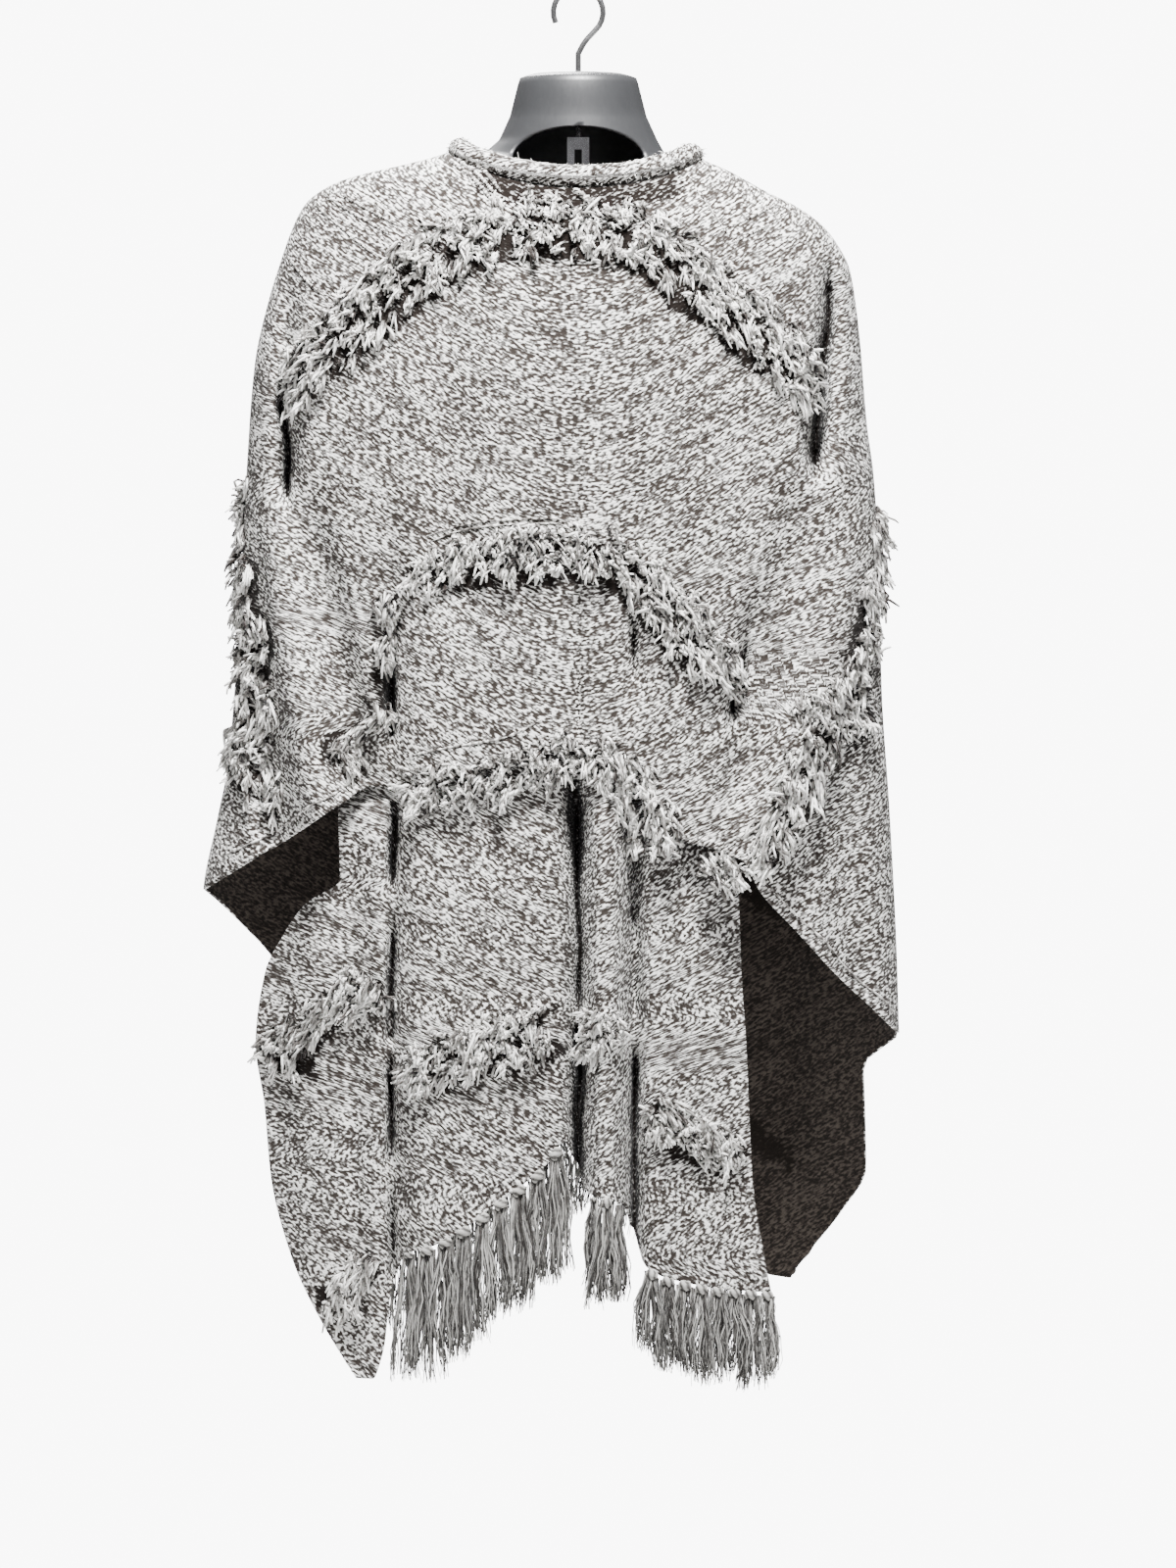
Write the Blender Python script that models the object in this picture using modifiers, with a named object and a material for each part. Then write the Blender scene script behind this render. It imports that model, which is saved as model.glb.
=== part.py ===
"""A shaggy woven poncho on a hollow-backed torso form that hangs from a hook.

Metres, +Z up. The origin is the point where the hook bears on its rail, so every height below is
negative. The garment's back faces -Y, its left as it is seen from behind is -X.
"""

import math
from collections import namedtuple

import bmesh
import bpy
import numpy as np
from mathutils import Vector
from mathutils.bvhtree import BVHTree

NAME = "poncho"

# Driving sizes
CLOTH = 0.0025
SEAM_GAP = 0.0003
ROLL_RADIUS = 0.0095
ROLL_GAP = 0.0013
SIDE_GAP = 0.0005
ROUNDNESS = 2.3
FRAME_TOP = -0.380
FREE_EDGE_RISE = 4
BAND_HALF_HEIGHT = 0.009
BAND_THICKNESS = 0.003
BAND_LIFT = 0.0011
LOCK_HANG = 0.034
LOCK_REACH = 0.013
LOCK_SIZES = (1.0, 0.8, 0.65, 0.5, 0.35, 0.2)
LOCK_SWELL = 1.12
LOCK_OFFSET = 0.04
NORMAL_PASSES = 4
# Each step of a lock: its width, its reach and its fall, as shares, and how far its section has turned
LOCK_STEPS = ((0.72, 0.85, 0.42, 0.96), (0.34, 1.00, 1.00, 1.45))
FRINGE_STRIP = 0.007
FRINGE_THICKNESS = 0.005
TASSEL_HALF_WIDTH = 0.0036
# Each step of a tassel's neck and knot: its fall and its width, then of its strands, as shares
KNOT_STEPS = ((0.003, 0.85), (0.008, 1.55), (0.014, 0.75))
STRAND_STEPS = ((0.6, 1.15), (1.0, 0.5))
FORM_WALL = 0.003
WIRE_RADIUS = 0.0023
WIRE_HOLE = 0.0027
HOOK_INNER_RADIUS = 0.018
STEM_TOP = -0.052
STEM_FOOT = -0.120
CLIP_SIZE = (0.018, 0.010, 0.010)
PRONG_LENGTH = 0.016

# A height above the cloth's neck edge, and one below each sheet
SHEET_TOP = -0.1325
UPPER_LOW = -0.90
FRONT_LOW = -1.15
LOWER_LOW = -1.16
# A depth outside every sheet
OUTSIDE = 0.4

# Outline of the cloth from behind: height, and distance of the edge from the middle
LEFT_EDGE = (
    (-0.133, 0.107),
    (-0.137, 0.119),
    (-0.145, 0.151),
    (-0.151, 0.178),
    (-0.160, 0.203),
    (-0.174, 0.222),
    (-0.194, 0.233),
    (-0.219, 0.242),
    (-0.251, 0.252),
    (-0.305, 0.264),
    (-0.380, 0.270),
    (-0.456, 0.274),
    (-0.563, 0.280),
    (-0.632, 0.286),
    (-0.678, 0.295),
    (-0.734, 0.306),
    (-0.900, 0.312),
    (-1.140, 0.300),
)
RIGHT_EDGE = (
    (-0.139, 0.102),
    (-0.146, 0.119),
    (-0.165, 0.154),
    (-0.178, 0.180),
    (-0.194, 0.201),
    (-0.210, 0.213),
    (-0.226, 0.221),
    (-0.245, 0.225),
    (-0.286, 0.230),
    (-0.357, 0.236),
    (-0.394, 0.241),
    (-0.456, 0.245),
    (-0.574, 0.248),
    (-0.666, 0.254),
    (-0.784, 0.260),
    (-0.851, 0.262),
    (-0.950, 0.266),
    (-1.140, 0.262),
)

# Depth of the cloth at the middle: height, behind, in front
DEPTHS = (
    (-0.130, 0.052, 0.050),
    (-0.145, 0.062, 0.060),
    (-0.166, 0.078, 0.074),
    (-0.190, 0.089, 0.088),
    (-0.220, 0.097, 0.100),
    (-0.270, 0.104, 0.113),
    (-0.340, 0.108, 0.120),
    (-0.480, 0.108, 0.120),
    (-0.640, 0.111, 0.117),
    (-0.850, 0.116, 0.118),
    (-1.140, 0.120, 0.124),
)
NECK_LEFT = (-0.107, -0.133)
NECK_RIGHT = (0.102, -0.139)
NECK_BACK = -0.166
NECK_FRONT = -0.194
NECK_BEND = 0.8

# Lower edge of the upper stretch behind: the free side edges and the line under the third band
UPPER_HEM = (
    (-0.306, -0.734),
    (-0.232, -0.690),
    (-0.190, -0.664),
    (-0.168, -0.650),
    (-0.150, -0.650),
    (-0.112, -0.646),
    (-0.072, -0.636),
    (-0.020, -0.624),
    (0.020, -0.626),
    (0.046, -0.650),
    (0.062, -0.676),
    (0.086, -0.694),
    (0.112, -0.701),
    (0.134, -0.712),
    (0.146, -0.734),
    (0.172, -0.762),
    (0.216, -0.808),
    (0.262, -0.851),
)

# The lower stretch: height, its left edge and its right edge
LOWER_SIDES = (
    (-0.600, -0.196, 0.120),
    (-0.690, -0.193, 0.126),
    (-0.726, -0.193, 0.129),
    (-0.744, -0.220, 0.130),
    (-0.772, -0.240, 0.131),
    (-0.800, -0.254, 0.132),
    (-0.860, -0.262, 0.136),
    (-0.905, -0.255, 0.138),
    (-0.968, -0.249, 0.141),
    (-1.032, -0.232, 0.151),
    (-1.080, -0.209, 0.160),
    (-1.130, -0.178, 0.166),
)
LOWER_HEM = (
    (-0.262, -1.124),
    (-0.166, -1.128),
    (-0.157, -1.105),
    (-0.150, -1.050),
    (-0.142, -1.028),
    (-0.120, -1.021),
    (-0.097, -1.009),
    (-0.063, -0.984),
    (-0.027, -0.956),
    (-0.010, -0.936),
    (-0.002, -0.950),
    (0.007, -0.976),
    (0.024, -0.982),
    (0.038, -0.986),
    (0.046, -1.012),
    (0.054, -1.036),
    (0.088, -1.050),
    (0.124, -1.056),
    (0.170, -1.060),
)
TUCK_MIDDLE = 0.014
TUCK_SIDE = 0.042
LAYER_STEP = CLOTH + SEAM_GAP
LAYER_LEFT = 0.024
LAYER_RIGHT = 0.016
UNDER_STEP = 0.0028
UNDER_FADE = 0.014

# The front cloth: height, its left edge and its right edge below the side tips, and its hem
FRONT_SIDES = (
    (-0.734, -0.306, 0.257),
    (-0.764, -0.276, 0.259),
    (-0.796, -0.250, 0.260),
    (-0.851, -0.240, 0.262),
    (-0.880, -0.238, 0.235),
    (-0.913, -0.232, 0.236),
    (-0.964, -0.222, 0.237),
    (-1.000, -0.208, 0.217),
    (-1.058, -0.176, 0.169),
    (-1.080, -0.160, 0.150),
)
FRONT_HEM = (
    (-0.306, -1.050),
    (-0.180, -1.040),
    (-0.120, -1.000),
    (-0.060, -0.958),
    (0.000, -0.938),
    (0.060, -0.964),
    (0.110, -1.010),
    (0.160, -1.054),
    (0.262, -1.062),
)

Crease = namedtuple(
    "Crease", "name x_top top x_end end half_width depth_top depth_end fade sharp"
)
BACK_CREASES = (
    Crease("left pocket", -0.238, -0.235, -0.236, -0.412, 0.020, 0.010, 0.024, 0.06, 1),
    Crease("right pocket", 0.209, -0.225, 0.193, -0.388, 0.021, 0.012, 0.030, 0.06, 1),
    Crease("left fold", -0.150, -0.470, -0.150, -1.170, 0.026, 0.012, 0.026, 0.10, 1),
    Crease("middle fold", -0.001, -0.646, -0.001, -1.100, 0.018, 0.022, 0.027, 0.04, 1),
    Crease("middle line", -0.001, -0.480, -0.001, -0.640, 0.014, 0.003, 0.005, 0.05, 0),
    Crease("right fold", 0.045, -0.672, 0.045, -1.150, 0.018, 0.020, 0.026, 0.04, 1),
    Crease("right line", 0.045, -0.470, 0.045, -0.580, 0.016, 0.005, 0.008, 0.05, 0),
    Crease("right notch", 0.142, -0.500, 0.125, -0.592, 0.020, 0.010, 0.022, 0.05, 1),
    Crease("blade hollow", -0.110, -0.230, -0.100, -0.520, 0.030, 0.004, 0.007, 0.08, 0),
    Crease("spine hollow", 0.030, -0.260, 0.044, -0.470, 0.026, 0.003, 0.006, 0.08, 0),
    Crease("left trough", -0.262, -0.470, -0.236, -0.720, 0.024, 0.006, 0.012, 0.08, 0),
    Crease("left ridge", -0.252, -0.430, -0.200, -0.690, 0.030, -0.008, -0.014, 0.08, 0),
    Crease("inner trough", -0.214, -0.430, -0.172, -0.640, 0.020, 0.004, 0.008, 0.08, 0),
    Crease("right swell", 0.235, -0.440, 0.150, -0.730, 0.034, -0.006, -0.012, 0.08, 0),
    Crease("right dip", 0.185, -0.420, 0.165, -0.640, 0.030, 0.005, 0.009, 0.08, 0),
    Crease("tip hollow", 0.215, -0.660, 0.225, -0.840, 0.026, 0.004, 0.012, 0.06, 0),
)
LOWER_CREASES = (
    Crease("lobe swell", -0.210, -0.760, -0.205, -1.150, 0.034, -0.010, -0.008, 0.08, 0),
    Crease("lobe trough", -0.176, -0.700, -0.178, -1.140, 0.018, 0.006, 0.008, 0.08, 0),
    Crease("left swell", -0.080, -0.720, -0.090, -1.060, 0.044, -0.004, -0.009, 0.08, 0),
    Crease("column swell", 0.022, -0.700, 0.022, -1.030, 0.020, -0.008, -0.012, 0.08, 0),
    Crease("right swell", 0.092, -0.760, 0.104, -1.120, 0.034, -0.005, -0.009, 0.08, 0),
)
FRONT_CREASES = (
    Crease("left pocket", -0.234, -0.235, -0.226, -0.420, 0.020, 0.010, 0.022, 0.06, 1),
    Crease("right pocket", 0.205, -0.235, 0.198, -0.400, 0.020, 0.010, 0.024, 0.06, 1),
    Crease("left fold", -0.118, -0.480, -0.132, -1.120, 0.026, 0.010, 0.024, 0.14, 1),
    Crease("middle fold", 0.016, -0.560, 0.010, -1.080, 0.024, 0.006, 0.020, 0.14, 1),
    Crease("right fold", 0.112, -0.470, 0.118, -1.130, 0.026, 0.010, 0.024, 0.14, 1),
    Crease("left swell", -0.190, -0.400, -0.186, -0.950, 0.034, -0.006, -0.010, 0.10, 0),
    Crease("right swell", 0.168, -0.400, 0.172, -0.930, 0.032, -0.006, -0.010, 0.10, 0),
)

# Columns of the sheets, as shares of the half width, closest where a crease runs
UPPER_LEFT = (1.0, 0.998, 0.985, 0.955, 0.92, 0.896, 0.876, 0.855, 0.82, 0.76, 0.70, 0.645, 0.60, 0.573)
UPPER_LEFT += (0.556, 0.539, 0.505, 0.45, 0.38, 0.30, 0.20, 0.11, 0.045)
UPPER_RIGHT = (0.0, 0.045, 0.10, 0.145, 0.187, 0.23, 0.30, 0.38, 0.45, 0.50, 0.54, 0.58, 0.64)
UPPER_RIGHT += (0.71, 0.77, 0.805, 0.833, 0.86, 0.895, 0.93, 0.962, 0.985, 0.998, 1.0)
UPPER_ROWS = 18
FRONT_SHARES = (1.0, 0.998, 0.98, 0.94, 0.89, 0.83, 0.75, 0.66, 0.57, 0.49, 0.43, 0.35, 0.24, 0.12)
FRONT_ROWS = 16
LOWER_COUNTS = (8, 8, 5, 6)
LOWER_STOPS = (-0.150, -0.001, 0.045)
LOWER_ROWS = 15

Band = namedtuple("Band", "name sheet locks hang path")
BACK_BANDS = (
    Band("band_1", "upper", 34, 1.15, (
        (-0.233, -0.322), (-0.208, -0.284), (-0.168, -0.246), (-0.120, -0.210), (-0.080, -0.190),
        (-0.036, -0.183), (0.010, -0.183), (0.046, -0.189), (0.088, -0.220), (0.136, -0.256),
        (0.160, -0.280))),
    Band("band_1_left_drape", "upper", 14, 1.0, (
        (-0.271, -0.408), (-0.273, -0.460), (-0.274, -0.510), (-0.271, -0.560), (-0.266, -0.600),
        (-0.257, -0.640), (-0.246, -0.672))),
    Band("band_1_right_drape", "upper", 16, 1.0, (
        (0.2425, -0.418), (0.2435, -0.460), (0.238, -0.504), (0.226, -0.544), (0.210, -0.576),
        (0.196, -0.606), (0.182, -0.640), (0.170, -0.668), (0.158, -0.700), (0.150, -0.716))),
    Band("band_2", "upper", 20, 1.0, (
        (-0.128, -0.466), (-0.088, -0.456), (-0.056, -0.450), (-0.024, -0.444), (0.008, -0.446),
        (0.040, -0.460), (0.072, -0.486), (0.104, -0.520), (0.122, -0.544))),
    Band("band_2_left_fold", "upper", 6, 0.85, (
        (-0.160, -0.500), (-0.168, -0.524), (-0.174, -0.556), (-0.178, -0.590), (-0.186, -0.616))),
    Band("band_3", "upper", 17, 1.0, (
        (-0.136, -0.632), (-0.104, -0.625), (-0.068, -0.615), (-0.032, -0.607), (0.000, -0.604),
        (0.024, -0.609), (0.042, -0.626), (0.056, -0.650), (0.070, -0.670))),
    Band("band_4_left", "lower", 10, 1.05, (
        (-0.250, -0.866), (-0.228, -0.842), (-0.196, -0.814), (-0.172, -0.796))),
    Band("band_4_middle", "lower", 10, 1.0, (
        (-0.136, -0.872), (-0.110, -0.856), (-0.070, -0.842), (-0.040, -0.830), (-0.020, -0.820))),
    Band("band_4_column", "lower", 3, 0.9, ((0.012, -0.838), (0.022, -0.838), (0.034, -0.839))),
    Band("band_4_right", "lower", 8, 0.9, (
        (0.062, -0.896), (0.088, -0.914), (0.110, -0.925), (0.130, -0.932))),
    Band("corner_roll", "lower", 5, 0.6, ((-0.172, -1.016), (-0.180, -1.040), (-0.190, -1.062))),
)
FRONT_BANDS = (
    Band("front_band_1", "front", 14, 1.0, (
        (-0.226, -0.330), (-0.196, -0.290), (-0.150, -0.252), (-0.100, -0.232), (-0.050, -0.224),
        (0.000, -0.222), (0.050, -0.226), (0.100, -0.242), (0.140, -0.264))),
    Band("front_band_2", "front", 11, 1.0, (
        (-0.200, -0.560), (-0.150, -0.500), (-0.104, -0.470), (-0.050, -0.456), (0.010, -0.452),
        (0.070, -0.468), (0.112, -0.492), (0.150, -0.540), (0.176, -0.580))),
    Band("front_band_3", "front", 10, 1.0, (
        (-0.210, -0.740), (-0.150, -0.672), (-0.090, -0.634), (-0.030, -0.618), (0.030, -0.622),
        (0.090, -0.646), (0.140, -0.690), (0.186, -0.760))),
    Band("front_band_4", "front", 10, 1.0, (
        (-0.196, -0.940), (-0.150, -0.890), (-0.090, -0.850), (-0.030, -0.832), (0.030, -0.838),
        (0.090, -0.868), (0.140, -0.912), (0.180, -0.950))),
)

Fringe = namedtuple("Fringe", "name sheet start end tassels length drop")
FRINGES = (
    Fringe("fringe_left", "lower", -0.140, -0.014, 9, 0.098, 0.0018),
    Fringe("fringe_column", "lower", 0.010, 0.036, 3, 0.080, 0.0009),
    Fringe("fringe_right", "lower", 0.056, 0.156, 8, 0.072, 0.0009),
    Fringe("front_fringe", "front", -0.160, 0.140, 14, 0.066, 0.0018),
)

# The torso form: height, half width left, half width right, depth behind, depth in front
FORM_LEVELS = (
    (-0.071, WIRE_HOLE, WIRE_HOLE, WIRE_HOLE, WIRE_HOLE),
    (-0.0712, 0.016, 0.016, 0.014, 0.014),
    (-0.0715, 0.036, 0.036, 0.031, 0.031),
    (-0.074, 0.0455, 0.0455, 0.040, 0.040),
    (-0.084, 0.048, 0.048, 0.042, 0.042),
    (-0.104, 0.053, 0.053, 0.044, 0.045),
    (-0.124, 0.062, 0.062, 0.048, 0.050),
    (-0.138, 0.078, 0.070, 0.050, 0.050),
    (-0.144, 0.112, 0.080, 0.051, 0.051),
    (-0.150, 0.144, 0.100, 0.052, 0.052),
    (-0.160, 0.182, 0.131, 0.054, 0.054),
    (-0.174, 0.200, 0.159, 0.059, 0.058),
    (-0.194, 0.209, 0.189, 0.068, 0.066),
    (-0.210, 0.206, 0.196, 0.074, 0.076),
    (-0.230, 0.178, 0.174, 0.080, 0.086),
    (-0.290, 0.166, 0.164, 0.086, 0.104),
    (-0.360, 0.152, 0.152, 0.084, 0.108),
    (-0.440, 0.140, 0.140, 0.080, 0.098),
    (-0.520, 0.138, 0.138, 0.080, 0.096),
)
FORM_SIDES = 24
ARCH_HALF_WIDTH = 0.053
ARCH_TOP = -0.114
ARCH_SPRING = -0.142
BACK_OPENING_HALF_WIDTH = 0.110
BACK_OPENING_TOP = -0.215


def smooth(stops, values, at):
    """Values read from a monotone cubic through the stops, which rise."""
    stops = np.asarray(stops, float)
    values = np.asarray(values, float)
    step = np.diff(stops)
    slope = np.diff(values) / step
    lean = np.zeros_like(values)
    both = slope[:-1] * slope[1:]
    ahead = 2 * step[1:] + step[:-1]
    behind = step[1:] + 2 * step[:-1]
    safe_a = np.where(both > 0, slope[:-1], 1.0)
    safe_b = np.where(both > 0, slope[1:], 1.0)
    mean = (ahead + behind) / (ahead / safe_a + behind / safe_b)
    lean[1:-1] = np.where(both > 0, mean, 0.0)
    lean[0] = slope[0]
    lean[-1] = slope[-1]
    at = np.clip(at, stops[0], stops[-1])
    i = np.clip(np.searchsorted(stops, at) - 1, 0, len(step) - 1)
    t = (at - stops[i]) / step[i]
    start = (1 + 2 * t) * (1 - t) ** 2 * values[i] + t * (1 - t) ** 2 * step[i] * lean[i]
    finish = t * t * (3 - 2 * t) * values[i + 1] - t * t * (1 - t) * step[i] * lean[i + 1]
    return start + finish


def column(table, index, z):
    """One column of a table whose first column is height, falling, at the heights z."""
    rows = np.asarray(table)[::-1]
    return smooth(rows[:, 0], rows[:, index], z)


def along(table, x):
    """The second column of a table whose first column is x, rising."""
    rows = np.asarray(table)
    return smooth(rows[:, 0], rows[:, 1], x)


def half_width(left, z):
    """Distance of the cloth's outline from the middle, on the left or the right."""
    return np.where(left, column(LEFT_EDGE, 1, z), column(RIGHT_EDGE, 1, z))


def ramp(value):
    """A smooth step from 0 to 1."""
    value = np.clip(value, 0.0, 1.0)
    return value * value * (3 - 2 * value)


def relief(creases, x, z):
    """How far the creases press the cloth inwards at x and z. A swell is negative."""
    total = np.zeros(np.broadcast(x, z).shape)
    for crease in creases:
        share = np.clip((crease.top - z) / (crease.top - crease.end), 0, 1)
        middle = crease.x_top + (crease.x_end - crease.x_top) * share
        depth = crease.depth_top + (crease.depth_end - crease.depth_top) * share
        across = np.clip(np.abs(x - middle) / crease.half_width, 0, 1)
        shape = (1 - across) ** 2 * (1 + 0.6 * across) if crease.sharp else (1 - across**2) ** 2
        inside = ramp((crease.top - z) / crease.fade + 0.5) * ramp((z - crease.end) / crease.fade + 0.5)
        total = total + depth * shape * inside
    return total


def cloth_y(side, creases, x, z):
    """Depth of the cloth at x and z: an oval section of the outline's width, pressed by creases."""
    share = np.clip(np.abs(x) / half_width(x < 0, z), 0, 1)
    depth = column(DEPTHS, 1 if side < 0 else 2, z)
    oval = np.maximum(1 - share**ROUNDNESS, 0) ** (1 / ROUNDNESS)
    press = relief(creases, x, z) * ramp((1 - share) / 0.12)
    return side * (depth * oval - press)


def upper_y(x, z):
    return cloth_y(-1, BACK_CREASES, x, z) - SIDE_GAP


def lower_y(x, z):
    """The lower stretch lies one layer further in, and more under the side drapes."""
    step = LAYER_STEP + LAYER_LEFT * ramp((-0.150 - x) / 0.060) + LAYER_RIGHT * ramp((x - 0.048) / 0.055)
    under = UNDER_STEP * ramp((z - along(UPPER_HEM, x)) / UNDER_FADE + 1)
    return cloth_y(-1, BACK_CREASES[:7] + LOWER_CREASES, x, z) + step + under


def front_y(x, z):
    return cloth_y(1, FRONT_CREASES, x, z) + SIDE_GAP


def neck_edge(x, middle):
    """Height of the cloth's neck edge at x, which dips to its middle height."""
    side_x = np.where(x < 0, NECK_LEFT[0], NECK_RIGHT[0])
    side_z = np.where(x < 0, NECK_LEFT[1], NECK_RIGHT[1])
    inside = np.clip(1 - (x / side_x) ** 2, 0, 1)
    return side_z + (middle - side_z) * inside**NECK_BEND


def fan_x(shares, z):
    """x of columns that fan out from the neck and run straight down below the shoulders."""
    left = shares < 0
    here = half_width(left, z)
    frame = half_width(left, np.maximum(z, FRAME_TOP))
    rise = np.abs(shares) ** FREE_EDGE_RISE
    return shares * (frame + (here - frame) * rise)


def meet(shares, x_of, edge_z, low):
    """The height at which each column first comes down to an edge that is a function of x."""
    heights = np.linspace(SHEET_TOP, low, 900)
    x = x_of(shares[:, None], heights[None, :])
    over = heights[None, :] - edge_z(x)
    first = np.argmax(over <= 0, axis=1)
    first = np.where((over <= 0).any(axis=1), np.maximum(first, 1), len(heights) - 1)
    row = np.arange(len(shares))
    above, below = over[row, first - 1], over[row, first]
    share = np.clip(above / np.where(above == below, 1, above - below), 0, 1)
    return heights[first - 1] + (heights[first] - heights[first - 1]) * share


def sheet_grid(shares, rows, x_of, y_of, top_of, bottom_of, low, crowd=1.3):
    """Points of a sheet, one column for each share, from its top edge to its lower edge."""
    top = meet(shares, x_of, top_of, low)
    bottom = meet(shares, x_of, bottom_of, low)
    run = np.linspace(0, 1, rows) ** crowd
    z = top[:, None] + (bottom - top)[:, None] * run[None, :]
    x = x_of(shares[:, None], z)
    return np.stack([x, y_of(x, z), z], axis=-1)


def upper_grid():
    shares = np.concatenate([-np.array(UPPER_LEFT), UPPER_RIGHT])
    return sheet_grid(
        shares, UPPER_ROWS, fan_x, upper_y,
        lambda x: neck_edge(x, NECK_BACK), lambda x: along(UPPER_HEM, x), UPPER_LOW,
    )


def front_x(shares, z):
    """As fan_x, but below the two side tips the columns spread to the front's own edges."""
    left_edge = column(FRONT_SIDES, 1, z)
    right_edge = column(FRONT_SIDES, 2, z)
    lower = np.where(shares < 0, -left_edge, right_edge)
    tip = np.where(shares < 0, UPPER_HEM[0][1], UPPER_HEM[-1][1])
    here = np.where(z < tip, lower, half_width(shares < 0, z))
    frame = half_width(shares < 0, np.maximum(z, FRAME_TOP))
    rise = np.abs(shares) ** FREE_EDGE_RISE
    return shares * (frame + (here - frame) * rise)


def front_grid():
    shares = np.array(FRONT_SHARES)
    shares = np.concatenate([-shares, [0.0], shares[::-1]])
    return sheet_grid(
        shares, FRONT_ROWS, front_x, front_y,
        lambda x: neck_edge(x, NECK_FRONT), lambda x: along(FRONT_HEM, x), FRONT_LOW,
    )


def lower_x(shares, z):
    """Columns that stand on the creases, and spread to the two free edges beyond them."""
    stops = [column(LOWER_SIDES, 1, z)] + [np.full_like(z, stop) for stop in LOWER_STOPS]
    stops.append(column(LOWER_SIDES, 2, z))
    x = np.zeros(np.broadcast(shares, z).shape)
    for i in range(len(stops) - 1):
        here = (shares >= i) & (shares < i + 1)
        x = x + here * (stops[i] + (stops[i + 1] - stops[i]) * ramp_between(shares - i))
    return x


def ramp_between(share):
    """Spaces columns closer together at both ends of their stretch."""
    share = np.clip(share, 0, 1)
    return 0.5 * share + 0.5 * ramp(share)


def lower_shares():
    """Column numbers: a whole number stands on a crease, and the last falls just inside its end."""
    shares = [i + k / count for i, count in enumerate(LOWER_COUNTS) for k in range(count)]
    return np.array(shares + [len(LOWER_COUNTS) - 1e-9])


def lower_top(x):
    side = np.maximum(ramp((-0.130 - x) / 0.05), ramp((x - 0.060) / 0.05))
    return along(UPPER_HEM, x) + TUCK_MIDDLE + (TUCK_SIDE - TUCK_MIDDLE) * side


def lower_grid():
    return sheet_grid(
        lower_shares(), LOWER_ROWS, lower_x, lower_y, lower_top,
        lambda x: along(LOWER_HEM, x), LOWER_LOW, 1.0,
    )


def new_material(name, colour, roughness, metallic=0.0):
    material = bpy.data.materials.new(name)
    material.use_nodes = True
    shader = material.node_tree.nodes["Principled BSDF"]
    shader.inputs["Base Color"].default_value = (*colour, 1.0)
    shader.inputs["Roughness"].default_value = roughness
    shader.inputs["Metallic"].default_value = metallic
    return material


def new_object(name, mesh, material, collection):
    obj = bpy.data.objects.new(name, mesh)
    mesh.materials.append(material)
    collection.objects.link(obj)
    return obj


def sheet_object(name, grid, faces_back, material, collection):
    """A sheet through its grid of points, with the wall's thickness added on its inner side."""
    columns, rows = grid.shape[:2]
    faces = []
    for i in range(columns - 1):
        for j in range(rows - 1):
            a = i * rows + j
            quad = (a, a + 1, a + rows + 1, a + rows)
            faces.append(quad if faces_back else quad[::-1])
    mesh = bpy.data.meshes.new(name)
    mesh.from_pydata(grid.reshape(-1, 3).tolist(), [], faces)
    mesh.shade_smooth()
    obj = new_object(name, mesh, material, collection)
    wall = obj.modifiers.new("wall", "SOLIDIFY")
    wall.thickness = CLOTH
    wall.offset = -1.0
    return obj


def resampled(points, count):
    """Points spaced evenly along a smooth curve through the given ones."""
    points = np.asarray(points, float)
    run = np.concatenate([[0], np.cumsum(np.linalg.norm(np.diff(points, axis=0), axis=1))])
    fine = np.linspace(0, run[-1], 400)
    curve = np.stack([smooth(run, points[:, k], fine) for k in range(points.shape[1])], axis=1)
    length = np.concatenate([[0], np.cumsum(np.linalg.norm(np.diff(curve, axis=0), axis=1))])
    at = np.linspace(0, length[-1], count)
    return np.stack([np.interp(at, length, curve[:, k]) for k in range(points.shape[1])], axis=1)


def surface_tree(obj):
    """The evaluated wall of a sheet, for finding points on it."""
    graph = bpy.context.evaluated_depsgraph_get()
    return BVHTree.FromObject(obj, graph)


def seated(tree, point, facing):
    """The outermost point of a wall in line with this one, and the wall's normal there."""
    start = Vector((point[0], facing * OUTSIDE, point[2]))
    hit, normal, _, _ = tree.ray_cast(start, Vector((0, -facing, 0)))
    if hit is None:
        hit, normal, _, _ = tree.find_nearest(Vector(point))
    return np.array(hit), np.array(normal)


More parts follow.
